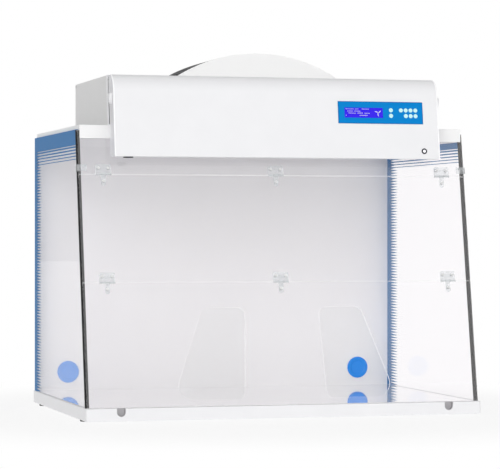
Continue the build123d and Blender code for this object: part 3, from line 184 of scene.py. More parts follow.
def shaded(tree, fac, colour, dark, light):
    """A colour made darker and lighter with a 0 to 1 value."""
    low = [c * dark for c in colour[:3]]
    high = [min(1, c * light) for c in colour[:3]]
    return blended(tree, fac, rgba(low), rgba(high))


def bumped(tree, fac, depth, strength):
    """A surface normal raised by a value, depth metres high."""
    inputs = {"Height": fac, "Distance": depth, "Strength": strength}
    return add_node(tree, "ShaderNodeBump", inputs).outputs["Normal"]


def grained(name, colour, grain, depth, rough, spread=0.03, strength=0.5, coat=0.0, metal=0.0, level=0.5):
    """A solid finish whose tone, roughness and surface follow one grain of a real size."""
    material, tree, output = new_material(name)
    fine = noise_at(tree, grain)
    broad = noise_at(tree, grain * 90)
    inputs = {
        "Base Color": shaded(tree, broad, colour, 1 - spread, 1 + spread),
        "Roughness": between(tree, fine, rough * 0.85, rough * 1.15),
        "Normal": bumped(tree, fine, depth, strength),
        "Metallic": metal,
        "Coat Weight": coat,
        "Coat Roughness": 0.03,
        "Specular IOR Level": level,
    }
    shader = add_node(tree, "ShaderNodeBsdfPrincipled", inputs)
    tree.links.new(shader.outputs["BSDF"], output.inputs["Surface"])
    return material


def lets_lamps_through(tree, shader, colour):
    """Mixes in a clear shader for rays from lamps, so that what stands behind the sheet is lit."""
    path = tree.nodes.new("ShaderNodeLightPath")
    passing = maths(tree, "MAXIMUM", path.outputs["Is Shadow Ray"], path.outputs["Is Diffuse Ray"])
    clear = add_node(tree, "ShaderNodeBsdfTransparent", {"Color": rgba(colour)}).outputs[0]
    return mixed(tree, passing, shader, clear)


def cut_edges(tree, normal):
    """1 on the sawn edges of a flat sheet whose faces have the given normal, 0 on the faces."""
    given = tree.nodes.new("ShaderNodeTexCoord").outputs["Normal"]
    along = add_node(tree, "ShaderNodeVectorMath", {0: given, 1: normal}, operation="DOT_PRODUCT")
    size = maths(tree, "ABSOLUTE", along.outputs["Value"])
    return below(tree, size, 0.6)


def acrylic_shader(tree, colour, rough, ior, cut, veil):
    """Clear faces with a faint white veil, and sawn edges with a painted glow for the light gathered inside.
    """
    inputs = {
        "Base Color": colour,
        "Roughness": between(tree, cut, rough, 0.5),
        "Transmission Weight": between(tree, cut, 1.0 - veil, 0.25),
        # painted glow: the cut edges give off a little white light of their own
        "Emission Color": (1.0, 1.0, 1.0, 1.0),
        "Emission Strength": between(tree, cut, 0.0, 0.3),
        "IOR": ior,
        "Specular IOR Level": 0.15,
    }
    return add_node(tree, "ShaderNodeBsdfPrincipled", inputs).outputs[0]


def clear_sheet(name, colour, normal, rough=0.02, ior=1.49, veil=0.01, reach=0.0):
    """Clear plastic: light goes straight through the faces, and the cut edges, which gather it, get a painted
    glow.

    Where reach is given, edges further than that from the middle get no painted glow, as they stand at the
    black seals.
    """
    material, tree, output = new_material(name)
    haze = noise_at(tree, 60 * MM)
    cut = cut_edges(tree, normal) if normal is not None else between(tree, haze, 0.0, 0.12)
    if reach:
        aside = maths(tree, "ABSOLUTE", split(tree, object_place(tree))[0])
        cut = times(tree, cut, below(tree, aside, reach))
    shader = acrylic_shader(tree, shaded(tree, haze, colour, 0.99, 1.0), rough, ior, cut, veil)
    tree.links.new(lets_lamps_through(tree, shader, colour), output.inputs["Surface"])
    return material


def above(tree, value, edge):
    """1 where a value is above an edge, else 0."""
    return maths(tree, "GREATER_THAN", value, edge)


def below(tree, value, edge):
    """1 where a value is below an edge, else 0."""
    return maths(tree, "LESS_THAN", value, edge)


def times(tree, a, b):
    """The product of two values."""
    return maths(tree, "MULTIPLY", a, b)


def most(tree, a, b):
    """The larger of two values."""
    return maths(tree, "MAXIMUM", a, b)


def printed_sheet(name, colour, ink, sizes):
    """Clear acrylic with screen-printed blue stripes along its top and a comb along its back edge.

    The ink lies where height is over the top band's foot, or in one of the thin lines under it, or where
    depth is within the back band. Teeth at an even pitch stand on the back band and narrow to their tips.
    """
    material, tree, output = new_material(name)
    x, y, z = split(tree, object_place(tree))
    mask = above(tree, z, sizes.band_foot)
    first = sizes.band_foot - 5.0 * MM
    for i in range(5):
        middle = first - i * sizes.comb_pitch
        half = (2.3 - 0.33 * i) * MM
        line = times(tree, above(tree, z, middle - half), below(tree, z, middle + half))
        mask = most(tree, mask, line)
    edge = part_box("side_panel_right")[1].y
    mask = most(tree, mask, above(tree, y, edge - sizes.comb_width))
    # distance in height from the middle of the nearest tooth, against the tooth's half height there
    aside = maths(tree, "PINGPONG", maths(tree, "SUBTRACT", first, z), sizes.comb_pitch / 2)
    tip = edge - sizes.tooth_reach
    root = edge - sizes.comb_width
    half = ramp(tree, y, tip, root, 0.0, sizes.comb_pitch * 0.42)
    mask = most(tree, mask, below(tree, aside, half))
    mottle = noise_at(tree, 8 * MM)
    inputs = {
        "Base Color": shaded(tree, mottle, ink, 0.96, 1.04),
        "Roughness": between(tree, mottle, 0.45, 0.55),
        "Normal": bumped(tree, mask, 0.05 * MM, 0.3),
        "Specular IOR Level": 0.15,
    }
    inked = add_node(tree, "ShaderNodeBsdfPrincipled", inputs).outputs[0]
    # the sawn edges get the same painted glow as the other clear sheets
    cut = cut_edges(tree, (1.0, 0.0, 0.0))
    clear = acrylic_shader(tree, rgba(colour), 0.02, 1.08, cut, 0.01)
    clear = lets_lamps_through(tree, clear, colour)
    tree.links.new(mixed(tree, mask, clear, inked), output.inputs["Surface"])
    return material


def brushed(name, colour, rough, across=0.4 * MM, along=30 * MM):
    """Metal drawn along X: noise squeezed across the strokes and stretched along them."""
    material, tree, output = new_material(name)
    scale = (1 / along, 1 / across, 1 / across)
    place = add_node(tree, "ShaderNodeMapping", {"Vector": object_place(tree), "Scale": scale}).outputs[0]
    strokes = noise_at(tree, 1.0, 4.0, place)
    inputs = {
        "Base Color": shaded(tree, strokes, colour, 0.92, 1.06),
        "Roughness": between(tree, strokes, rough * 0.7, rough * 1.3),
        "Normal": bumped(tree, strokes, 0.02 * MM, 0.4),
        "Metallic": 1.0,
    }
    shader = add_node(tree, "ShaderNodeBsdfPrincipled", inputs)
    tree.links.new(shader.outputs[0], output.inputs["Surface"])
    return material


def celled(name, colour, cell, depth, rough, dark=0.6, light=1.3, metal=0.0):
    """A surface of small cells, such as granules, crystals of zinc or foam, each with its own tone."""
    material, tree, output = new_material(name)
    cells = add_node(tree, "ShaderNodeTexVoronoi", {"Vector": object_place(tree), "Scale": 1.0 / cell})
    tone = add_node(tree, "ShaderNodeSeparateColor", {0: cells.outputs["Color"]}).outputs[0]
    inputs = {
        "Base Color": shaded(tree, tone, colour, dark, light),
        "Roughness": between(tree, tone, rough * 0.8, min(1.0, rough * 1.15)),
        "Normal": bumped(tree, cells.outputs["Distance"], depth, 0.6),
        "Metallic": metal,
    }
    shader = add_node(tree, "ShaderNodeBsdfPrincipled", inputs)
    tree.links.new(shader.outputs[0], output.inputs["Surface"])
    return material


def backlit(name, colour, dots=0.9 * MM):
    """A backlit display: a faint grid of dots in deep blue that gives off its own light."""
    material, tree, output = new_material(name)
    scale = (1 / dots,) * 3
    place = add_node(tree, "ShaderNodeMapping", {"Vector": object_place(tree), "Scale": scale}).outputs[0]
    grid = add_node(tree, "ShaderNodeTexChecker", {"Vector": place, "Scale": 1.0}).outputs["Fac"]
    inputs = {
        "Base Color": shaded(tree, grid, colour, 0.9, 1.05),
        "Roughness": between(tree, grid, 0.08, 0.12),
        "Emission Color": rgba(colour),
        "Emission Strength": 0.35,
        "Specular IOR Level": 0.2,
    }
    shader = add_node(tree, "ShaderNodeBsdfPrincipled", inputs)
    tree.links.new(shader.outputs[0], output.inputs["Surface"])
    return material


def keypad_film(name, colour, border):
    """A printed polyester film over the keypad: clear blue with a darker edge line."""
    material, tree, output = new_material(name)
    low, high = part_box("control_plate")
    x, y, z = split(tree, object_place(tree))
    inside = times(tree, above(tree, x, low.x + border), below(tree, x, high.x - border))
    inside = times(tree, inside, above(tree, z, low.z + border))
    inside = times(tree, inside, below(tree, z, high.z - border))
    gloss = noise_at(tree, 3 * MM)
    tone = blended(tree, inside, rgba([c * 0.62 for c in colour[:3]]), rgba(colour))
    inputs = {
        "Base Color": tone,
        "Specular IOR Level": 0.05,
        "Roughness": between(tree, gloss, 0.46, 0.54),
        "Normal": bumped(tree, gloss, 0.02 * MM, 0.3),
    }
    shader = add_node(tree, "ShaderNodeBsdfPrincipled", inputs)
    tree.links.new(shader.outputs[0], output.inputs["Surface"])
    return material


def undershaded(name, colour, under, rough):
    """A small moulded or turned piece: its own colour above, and a painted shade where a face turns
    downwards.
    """
    material, tree, output = new_material(name)
    given = tree.nodes.new("ShaderNodeTexCoord").outputs["Normal"]
    # painted shade: the colour turns to the under colour as the face's normal points down
    turn = ramp(tree, split(tree, given)[2], -0.4, 0.1)
    grain = noise_at(tree, 0.6 * MM)
    inputs = {
        "Base Color": blended(tree, turn, rgba(under), rgba(colour)),
        "Roughness": between(tree, grain, rough * 0.85, rough * 1.15),
        "Normal": bumped(tree, grain, 0.01 * MM, 0.3),
    }
    shader = add_node(tree, "ShaderNodeBsdfPrincipled", inputs)
    tree.links.new(shader.outputs[0], output.inputs["Surface"])
    return material


def finish_nodes(material, *names):
    """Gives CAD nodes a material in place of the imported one."""
    for name in names:
        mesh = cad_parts[name].data
        mesh.materials.clear()
        mesh.materials.append(material)


# Surfaces


def grid_faces(rows, columns, wrap):
    """Quads of a grid of points, the last column joined to the first where wrap is set."""
    r = np.arange(rows - 1)[:, None]
    c = np.arange(columns if wrap else columns - 1)[None, :]
    a = r * columns + c
    b = r * columns + (c + 1) % columns
    return np.stack([a, b, b + columns, a + columns], axis=-1).reshape(-1, 4)


def put_mesh(name, parts, material, body, slot, *nodes):
    """One object from grids of points. Each part is (points of shape rows, columns, 3; wrap)."""
    vertices = []
    faces = []
    start = 0
    for points, wrap in parts:
        rows, columns = points.shape[:2]
        faces.append(grid_faces(rows, columns, wrap) + start)
        vertices.append(points.reshape(-1, 3))
        start += rows * columns
    mesh = bpy.data.meshes.new(name)
    mesh.from_pydata(np.concatenate(vertices).tolist(), [], np.concatenate(faces).tolist())
    work = bmesh.new()
    work.from_mesh(mesh)
    bmesh.ops.remove_doubles(work, verts=work.verts, dist=1e-6)
    bmesh.ops.recalc_face_normals(work, faces=work.faces)
    work.to_mesh(mesh)
    work.free()
    mesh.polygons.foreach_set("use_smooth", np.ones(len(mesh.polygons), bool))
    mesh.set_sharp_from_angle(angle=math.radians(35))
    mesh.materials.append(material)
    piece = bpy.data.objects.new(name, mesh)
    bpy.context.scene.collection.objects.link(piece)
    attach(piece, body)
    if nodes:
        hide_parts(*nodes)
    return piece


def turned(profile, steps):
    """A profile of (radius, height) points carried once round the Z axis: x = r cos a, y = r sin a, z = h."""
    profile = np.asarray(profile, float)
    angle = np.linspace(0, 2 * np.pi, steps, endpoint=False)
    r = profile[:, :1]
    h = np.broadcast_to(profile[:, 1:], (len(profile), steps))
    return np.stack([r * np.cos(angle), r * np.sin(angle), h], axis=-1)


def stood(points, origin, normal, right=(1.0, 0.0, 0.0)):
    """Points moved from the XY plane to a plane through origin, with its own right and normal."""
    right = np.asarray(right, float)
    normal = np.asarray(normal, float)
    up = np.cross(normal, right)
    return np.asarray(origin) + points @ np.stack([right, up, normal])


def slope(foot, tilt, x, s, lift=0.0):
    """A place on a leaning face: x across, s up its slope, lift out of it."""
    up = np.array([0.0, math.sin(tilt), math.cos(tilt)])
    out = np.array([0.0, -math.cos(tilt), math.sin(tilt)])
    return foot + np.array([x, 0.0, 0.0]) + up * s + out * lift


def facing(tilt):
    """The outward normal of a leaning face."""
    return np.array([0.0, -math.cos(tilt), math.sin(tilt)])


def rounded(profile, radius, steps=4):
    """A profile with its inner corners rounded, each by a curve between points set back along both runs."""
    profile = np.asarray(profile, float)
    out = [profile[0]]
    t = np.linspace(0, 1, steps + 1)[:, None]
    for before, corner, after in zip(profile, profile[1:], profile[2:]):
        a = before - corner
        b = after - corner
        back = min(radius, 0.45 * np.linalg.norm(a), 0.45 * np.linalg.norm(b))
        p = corner + a / np.linalg.norm(a) * back
        q = corner + b / np.linalg.norm(b) * back
        out.extend((1 - t) ** 2 * p + 2 * t * (1 - t) * corner + t**2 * q)
    out.append(profile[-1])
    return np.array(out)


def screw(head_top, sheet_back, sizes):
    """A pan-head screw with a cross recess, its shank and its cap nut, as one closed turned surface.

    Inside the recess the height falls by its depth, smoothly over the arms' edges. The arms are the places
    where the smaller of |x| and |y| is under half the arm's width and the larger is under its reach.
    """
    r = np.linspace(0, sizes.screw_head / 2, 15)[1:]
    dome = head_top - 0.9 * MM * (r / r[-1]) ** 2.4
    top = np.stack([np.r_[0.0, r], np.r_[head_top, dome]], axis=1)
    seat = head_top - 2.6 * MM
    nut = sizes.screw_nut / 2
    rest = [
        (r[-1], seat),
        (2.0 * MM, seat),
        (2.0 * MM, sheet_back),
        (nut, sheet_back),
        (nut, sheet_back - 2.0 * MM),
        (nut * 0.8, sheet_back - 3.1 * MM),
        (nut * 0.4, sheet_back - 3.5 * MM),
        (0.0, sheet_back - 3.5 * MM),
    ]
    points = turned(np.concatenate([top, rest]), 40)
    x = np.abs(points[: len(top), :, 0])
    y = np.abs(points[: len(top), :, 1])
    arm = np.clip((0.75 * MM - np.minimum(x, y)) / (0.3 * MM), 0, 1)
    reach = np.clip((2.6 * MM - np.maximum(x, y)) / (0.5 * MM), 0, 1)
    points[: len(top), :, 2] -= 1.2 * MM * arm * reach
    return points


def hinge_fittings(name, screws, pins, material, body, node):
    """All the screws, and the pins of one row of hinges, that ride on one body."""
    sizes = bpy.context.scene.hood_sizes
    normal = facing(WINDOW_TILT)
    one = screw(LEAF_LIFT, -WINDOW_BACK, sizes)
    parts = [(stood(one, slope(WINDOW_FOOT, WINDOW_TILT, x, s), normal), True) for x, s in screws]
    half = PIN_HALF
    pin = rounded([(0, -half), (PIN_RADIUS, -half), (PIN_RADIUS, half), (0, half)], 0.4 * MM)
    for x, s in pins:
        place = slope(WINDOW_FOOT, WINDOW_TILT, x, s, PIN_LIFT)
        parts.append((stood(turned(pin, 20), place, (1.0, 0.0, 0.0), (0.0, 1.0, 0.0)), True))
    return put_mesh(name, parts, material, body, "screw_steel", node)


# Settings


class HoodColours(bpy.types.PropertyGroup):
    """Colours of the hood's finishes."""

    paint: bpy.props.FloatVectorProperty(
        name="Paint", description="Powder coat of the base, frame and header", subtype="COLOR",
        size=3, min=0, max=1, default=linear("#f4f4f6"))
    header_paint: bpy.props.FloatVectorProperty(
        name="Header case", description="Powder coat of the header's case", subtype="COLOR",
        size=3, min=0, max=1, default=linear("#e6e6e6"))
    worktop: bpy.props.FloatVectorProperty(
        name="Worktop", description="Glossy laminate of the worktop", subtype="COLOR",
        size=3, min=0, max=1, default=linear("#faf9fa"))
    back: bpy.props.FloatVectorProperty(
        name="Back panel", description="Melamine of the back panel", subtype="COLOR",
        size=3, min=0, max=1, default=linear("#f8f8f8"))
    clear: bpy.props.FloatVectorProperty(
        name="Clear sheet", description="Tint of the clear panels", subtype="COLOR",
        size=3, min=0, max=1, default=linear("#fdfcfd"))
    ink: bpy.props.FloatVectorProperty(
        name="Stripes", description="Ink of the side panels' stripes", subtype="COLOR",
        size=3, min=0, max=1, default=linear("#3c7cb6"))
    plug: bpy.props.FloatVectorProperty(
        name="Service plugs", description="Moulded plugs in the back panel", subtype="COLOR",
        size=3, min=0, max=1, default=linear("#1c90f2"))
    keypad: bpy.props.FloatVectorProperty(
        name="Keypad", description="Printed film of the keypad", subtype="COLOR",
        size=3, min=0, max=1, default=linear("#0888d6"))
    display: bpy.props.FloatVectorProperty(
        name="Display", description="Backlit display", subtype="COLOR",
        size=3, min=0, max=1, default=linear("#2606d4"))
    button: bpy.props.FloatVectorProperty(
        name="Buttons", description="Moulded button caps", subtype="COLOR",
        size=3, min=0, max=1, default=linear("#d2ffff"))
    grille: bpy.props.FloatVectorProperty(
        name="Cowl grille", description="Powder coat of the exhaust grille", subtype="COLOR",
        size=3, min=0, max=1, default=linear("#4c4c4e"))


class HoodSizes(bpy.types.PropertyGroup):
    """Sizes of the hood's printed stripes and small fittings."""

    band_foot: bpy.props.FloatProperty(
        name="Band foot", description="Height of the lower edge of the solid top stripe",
        default=0.8045, unit="LENGTH")
    comb_width: bpy.props.FloatProperty(
        name="Comb width", description="Width of the solid stripe along the back edge", default=0.034,
        unit="LENGTH")
    tooth_reach: bpy.props.FloatProperty(
        name="Tooth reach", description="Width of the back stripe to the tips of its teeth", default=0.100,
        unit="LENGTH")
    comb_pitch: bpy.props.FloatProperty(
        name="Comb pitch", description="Distance from tooth to tooth", default=0.00905, unit="LENGTH")
    screw_head: bpy.props.FloatProperty(
        name="Screw head", description="Diameter of the hinge screws' heads", default=0.009, unit="LENGTH")
    screw_nut: bpy.props.FloatProperty(
        name="Cap nut", description="Diameter of the hinge screws' cap nuts", default=0.0084, unit="LENGTH")


# Operators


class HOOD_OT_painted_sheet(bpy.types.Operator):
    """Finishes the powder-coated base, frame, header and cowl"""

    bl_idname = "hood.painted_sheet"
    bl_label = "Painted sheet"

    def execute(self, context):
        colours = context.scene.hood_colours
        # Powder-coated steel, baked on: a satin skin with a fine orange peel
        paint = grained("powder_coated_steel", colours.paint, 1.2 * MM, 0.03 * MM, 0.42)
        finish_nodes(paint, "base_slab", "header_ring", "cover_skin", "ceiling_grille")
        # The frame under the header and the cowl are coated a cleaner white
        frame_paint = grained("powder_coated_frame", linear("#fdfdfd"), 1.2 * MM, 0.03 * MM, 0.42)
        finish_nodes(frame_paint, "top_frame", "cowl_end_plates")
        case = grained("powder_coated_case", colours.header_paint, 1.2 * MM, 0.03 * MM, 0.45)
        finish_nodes(case, "header_case")
        # Dark powder coat: coarser and duller, so that the slots read as shadow
        dark = grained("powder_coated_grille", colours.grille, 1.5 * MM, 0.05 * MM, 0.6)
        finish_nodes(dark, "cowl_grille")
        lamp = grained("painted_lamp_channel", linear("#f2f2f0"), 1.0 * MM, 0.02 * MM, 0.35)
        finish_nodes(lamp, "lamp_housing")
        return {"FINISHED"}


class HOOD_OT_chamber(bpy.types.Operator):
    """Finishes the worktop, the back panel, the seals and the finger cups"""

    bl_idname = "hood.chamber"
    bl_label = "Chamber"

    def execute(self, context):
        colours = context.scene.hood_colours
        # High-pressure laminate, pressed against a polished plate: it mirrors what stands on it
        top = grained("gloss_laminate", colours.worktop, 2.0 * MM, 0.002 * MM, 0.05, 0.01, 0.2, coat=1.0)
        finish_nodes(top, "worktop")
        # Melamine board: an even satin white with a faint pearl
        back = grained("melamine_board", colours.back, 0.8 * MM, 0.02 * MM, 0.38, 0.015)
        finish_nodes(back, "back_panel")
        # EPDM rubber, extruded: near black, dull, with a slight bloom
        seal = grained("epdm_seal", linear("#0e0e0f"), 0.9 * MM, 0.03 * MM, 0.7, 0.12, level=0.2)
        finish_nodes(seal, "window_seals", "port_plug")
        # Polyurethane foam: open cells that swallow light
        foam = celled("polyurethane_foam", linear("#2e2e30"), 1.4 * MM, 0.4 * MM, 0.95)
        finish_nodes(foam, "filter_seal")
        # ABS, moulded, with a spark-eroded grain; its mid grey is painted shade for the shade inside the cups
        shaded_cup = grained("moulded_abs", linear("#b6b4b7"), 0.5 * MM, 0.03 * MM, 0.5, 0.05)
        finish_nodes(shaded_cup, "finger_cups")
        return {"FINISHED"}


class HOOD_OT_clear_panels(bpy.types.Operator):
    """Finishes the clear window, side panels, hinges, clips and cover cheeks"""

    bl_idname = "hood.clear_panels"
    bl_label = "Clear panels"

    def execute(self, context):
        colours = context.scene.hood_colours
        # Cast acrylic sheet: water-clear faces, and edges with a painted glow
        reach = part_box("window_middle")[1].x - 1.0 * MM
        window = clear_sheet("cast_acrylic", colours.clear, facing(WINDOW_TILT), reach=reach)
        finish_nodes(window, "window_upper", "window_middle", "window_lower")
        printed = printed_sheet("printed_acrylic", colours.clear, colours.ink, context.scene.hood_sizes)
        finish_nodes(printed, "side_panel_left", "side_panel_right")
        # Polycarbonate, moulded: clear but milky in patches, which also give off a faint painted glow
        hinge = clear_sheet("moulded_polycarbonate", linear("#f4f6f7"), None, 0.05, 1.25, 0.1)
        finish_nodes(hinge, "hinge_leaves_upper", "hinge_leaves_lower", "window_clips")
        finish_nodes(hinge, "hinge_tails_upper", "hinge_tails_lower")
        # Frosted acrylic: one face sanded, so shapes behind it blur; its cut edges get a painted glow
        cheek = clear_sheet("frosted_acrylic", linear("#f6f6f8"), (1.0, 0.0, 0.0), 0.3, 1.1, 0.6)
        finish_nodes(cheek, "cover_cheeks")
        grip = grained("moulded_grip", linear("#f0f0f2"), 0.7 * MM, 0.02 * MM, 0.3, 0.02, coat=0.2)
        finish_nodes(grip, "cover_grips")
        return {"FINISHED"}


class HOOD_OT_hinge_fittings(bpy.types.Operator):
    """Makes the hinge screws, cap nuts and pins"""

    bl_idname = "hood.hinge_fittings"
    bl_label = "Hinge fittings"

    def execute(self, context):
        # Natural nylon, turned: pale fronts, and undersides drawn darker as painted shade, where the leaf
        # shades them
        nylon = undershaded("turned_nylon", linear("#fafafa"), linear("#6e7074"), 0.35)
        # Stainless steel, turned and tumbled: soft bright highlights
        steel = brushed("stainless_steel", linear("#d4d5d6"), 0.28)
        finish_nodes(steel, "header_fasteners", "lock_strike")
        row = (-HINGE_SPREAD, 0.0, HINGE_SPREAD)
        twins = [x + d for x in row for d in (-SCREW_PAIR, SCREW_PAIR)]
        fixed = [(x, UPPER_JOINT + SCREW_ABOVE) for x in twins]
        middle = [(x, UPPER_JOINT - SCREW_BELOW) for x in row]
        middle += [(x, LOWER_JOINT + SCREW_ABOVE) for x in twins]
        low = [(x, LOWER_JOINT - SCREW_BELOW) for x in row]
        upper_pins = [(x, UPPER_JOINT) for x in row]
        lower_pins = [(x, LOWER_JOINT) for x in row]
        rows = (
            ("upper", fixed, upper_pins, "cabinet"),
            ("middle", middle, lower_pins, "window_middle_panel"),
            ("lower", low, [], "window_lower_panel"),
        )
        for place, screws, pins, body in rows:
            node = f"hinge_fasteners_{place}"
            hinge_fittings(f"hinge_fittings_{place}", screws, pins, nylon, body, node)
        return {"FINISHED"}


class HOOD_OT_turned_plastics(bpy.types.Operator):
    """Makes the service plugs in the back panel and the feet under the base"""

    bl_idname = "hood.turned_plastics"
    bl_label = "Plugs and feet"

    def execute(self, context):
        # Polypropylene, moulded: a clear blue with a waxy sheen
        plug = context.scene.hood_colours.plug
        blue = grained("moulded_polypropylene", plug, 0.9 * MM, 0.01 * MM, 0.28, 0.02)
        low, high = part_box("service_plugs")
        r = (high.z - low.z) / 2
        profile = [
            (0.0, 2.5 * MM), (22.0 * MM, 2.5 * MM), (24.0 * MM, 4.0 * MM), (r - 1.5 * MM, 4.0 * MM),
            (r, 2.4 * MM), (r, 0.0), (30.0 * MM, 0.0), (30.0 * MM, -6.0 * MM), (24.0 * MM, -6.0 * MM),
            (22.0 * MM, -2.0 * MM), (0.0, -2.0 * MM),
        ]
        cap = turned(rounded(profile, 0.8 * MM), 72)
        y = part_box("back_panel")[0].y
        parts = []
        for x in (low.x + r, high.x - r):
            place = (x, y, (low.z + high.z) / 2)
            parts.append((stood(cap, place, (0.0, -1.0, 0.0)), True))
        put_mesh("service_caps", parts, blue, "cabinet", "plug_blue", "service_plugs")
        # Neoprene, moulded: dark grey and dull
        rubber = grained("moulded_neoprene", linear("#3c3b3c"), 0.8 * MM, 0.04 * MM, 0.75, 0.1)
        low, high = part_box("base_feet")
        profile = [
            (0.0, 0.0), (15.0 * MM, 0.0), (18.0 * MM, 0.4 * MM), (19.0 * MM, 3.2 * MM), (18.4 * MM, 3.9 * MM),
            (19.5 * MM, 4.6 * MM), (FOOT_RADIUS, 8.0 * MM), (8.0 * MM, 8.0 * MM), (8.0 * MM, 18.0 * MM),
            (0.0, 18.0 * MM),
        ]
        foot = turned(rounded(profile, 0.5 * MM), 48)
        r = FOOT_RADIUS
        places = [(x, y, 0.0) for x in (low.x + r, high.x - r) for y in (low.y + r, high.y - r)]
        parts = [(foot + np.array(p), True) for p in places]
        put_mesh("rubber_feet", parts, rubber, "cabinet", "foot_rubber", "base_feet")
        return {"FINISHED"}


class HOOD_OT_keypad(bpy.types.Operator):
    """Makes the button caps and the display's marks, and finishes the keypad and lock"""

    bl_idname = "hood.keypad"
    bl_label = "Keypad"

    def execute(self, context):
        colours = context.scene.hood_colours
        finish_nodes(keypad_film("polyester_film", colours.keypad, 2.2 * MM), "control_plate")
        finish_nodes(backlit("backlit_display", colours.display), "display_module")
        # Epoxy glass board under green solder mask
        board = celled("solder_mask", linear("#1d6b3a"), 2.0 * MM, 0.05 * MM, 0.35, 0.8, 1.15)
        finish_nodes(board, "control_board")
        # Chrome-plated zinc, polished: mirrors the room
        chrome = brushed("chromed_zinc", linear("#d8d8da"), 0.14, 0.8 * MM, 6 * MM)
        finish_nodes(chrome, "lock_plug")
        # Black-plated zinc: the lock's dark surround
        black = brushed("black_plated_zinc", linear("#34353a"), 0.3, 0.8 * MM, 6 * MM)
        finish_nodes(black, "lock_barrel")
        # Silicone rubber, moulded and backlit: pale cyan with a soft skin
        silicone = grained("moulded_silicone", colours.button, 0.8 * MM, 0.01 * MM, 0.4, 0.02)
        normal = facing(COVER_TILT)
        profile = [
            (0.0, 1.75 * MM), (3.6 * MM, 1.85 * MM), (4.9 * MM, CAP_PROUD), (5.7 * MM, 2.1 * MM),
            (CAP_RADIUS, 1.2 * MM), (CAP_RADIUS, -3.3 * MM), (3.0 * MM, -3.3 * MM), (3.0 * MM, -10.5 * MM),
            (0.0, -10.5 * MM),
        ]
        cap = turned(rounded(profile, 0.35 * MM), 40)
        for i in range(1, 10):
            low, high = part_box(f"button_{i}")
            x = (low.x + high.x) / 2
            # the node's highest point is the upper edge of the cap's front
            rise = high.z - COVER_FOOT[2] - CAP_PROUD * math.sin(COVER_TILT)
            s = rise / math.cos(COVER_TILT) - CAP_RADIUS
            place = slope(COVER_FOOT, COVER_TILT, x, s)
            node = f"button_{i}"
            parts = [(stood(cap, place, normal), True)]
            put_mesh(f"button_cap_{i}", parts, silicone, node, "button_cyan", node)
        self.display_marks()
        return {"FINISHED"}

    def display_marks(self):
        """Three fan blades and rows of dashes. A blade runs out along its radius, and its half width
        is a sine of the way along it, leaning to one side."""
        # Liquid crystal segments: pale, and set a little in front of the display so that they show
        pale = grained("pale_segments", linear("#c9c4ff"), 1.0 * MM, 0.005 * MM, 0.4, 0.02)
        normal = facing(COVER_TILT)
        u = np.linspace(0, 1, 13)[:, None]
        v = np.linspace(-1, 1, 5)[None, :]
        radius = (1.2 + 10.3 * u + 0 * v) * MM
        width = 1.9 * MM * np.sin(np.pi * np.clip(0.12 + 0.86 * u, 0, 1))
        lean = 0.32 * u
        parts = []
        hub = slope(COVER_FOOT, COVER_TILT, *FAN_SIGN, MARK_LIFT)
        for turn in (0.35, 0.35 + 2 * np.pi / 3, 0.35 + 4 * np.pi / 3):
            angle = turn + lean
            x = radius * np.cos(angle) - v * width * np.sin(angle)
            y = radius * np.sin(angle) + v * width * np.cos(angle)
            parts.append((stood(np.stack([x, y, 0 * x], axis=-1), hub, normal), False))
        ring = turned([(0.0, 0.0), (1.5 * MM, 0.0)], 16)
        parts.append((stood(ring, hub, normal), True))
        # height of each row up the cover, and where its dashes start and end, in millimetres
        rows = {
            0.1487: [(207, 232), (236, 247), (258, 281)],
            0.1422: [(212, 229), (233, 252)],
            0.1360: [(216, 240), (244, 262), (266, 284)],
            0.1292: [(207, 211), (250, 276)],
        }
        for s, dashes in rows.items():
            for x0, x1 in dashes:
                marks = np.arange(x0, x1 - 1.5, 2.9)
                for x in marks:
                    tall = (2.4 if int(x) % 3 else 3.2) * MM
                    a = np.array([x * MM, (x + 2.0) * MM])
                    b = np.array([s, s + tall])
                    grid = np.stack(np.meshgrid(a, b, indexing="ij") + [np.zeros((2, 2))], axis=-1)
                    origin = slope(COVER_FOOT, COVER_TILT, 0.0, 0.0, MARK_LIFT)
                    parts.append((stood(grid, origin, normal), False))
        marks = put_mesh("display_marks", parts, pale, "header_cover", "button_cyan")
        thick = marks.modifiers.new("thick", "SOLIDIFY")
        thick.thickness = 0.1 * MM
        thick.offset = 0.0


class HOOD_OT_inner_works(bpy.types.Operator):
    """Finishes the filters, the fan, the lamp tube and the power pieces"""

    bl_idname = "hood.inner_works"
    bl_label = "Inner works"

    def execute(self, context):
        # Synthetic fibre mat: loose pale fibres, drawn as soft cells
        mat = celled("fibre_mat", linear("#dcdad2"), 3.0 * MM, 0.8 * MM, 0.95, 0.85, 1.1)
        finish_nodes(mat, "prefilter")
        # Activated carbon granules of about 4 mm behind the frame's bars
        carbon = celled("carbon_granules", linear("#34353a"), 4.0 * MM, 1.2 * MM, 0.8, 0.5, 1.6)
        finish_nodes(carbon, "carbon_filter")
        # Hot-dip galvanised steel: large zinc crystals, each its own grey
        zinc = celled("galvanised_steel", linear("#b4b8bb"), 11.0 * MM, 0.02 * MM, 0.4, 0.85, 1.15, metal=1.0)
        finish_nodes(zinc, "fan_deck", "inlet_ring", "motor_bridge")
        # Glass-filled nylon, moulded: black with short pale fibres at the skin
        nylon = grained("glass_filled_nylon", linear("#2b2c2e"), 0.7 * MM, 0.04 * MM, 0.55, 0.15)
        finish_nodes(nylon, "fan_impeller", "filter_wedges", "power_inlet")
        alloy = brushed("drawn_aluminium", linear("#b9bbbd"), 0.35, 0.5 * MM, 18 * MM)
        finish_nodes(alloy, "fan_rotor", "fan_stator", "power_supply")
        # Opal glass: a white tube, glossy outside
        opal = grained("opal_glass", linear("#f8f8f4"), 5.0 * MM, 0.005 * MM, 0.15, 0.01, coat=0.3)
        finish_nodes(opal, "lamp_tube")
        return {"FINISHED"}


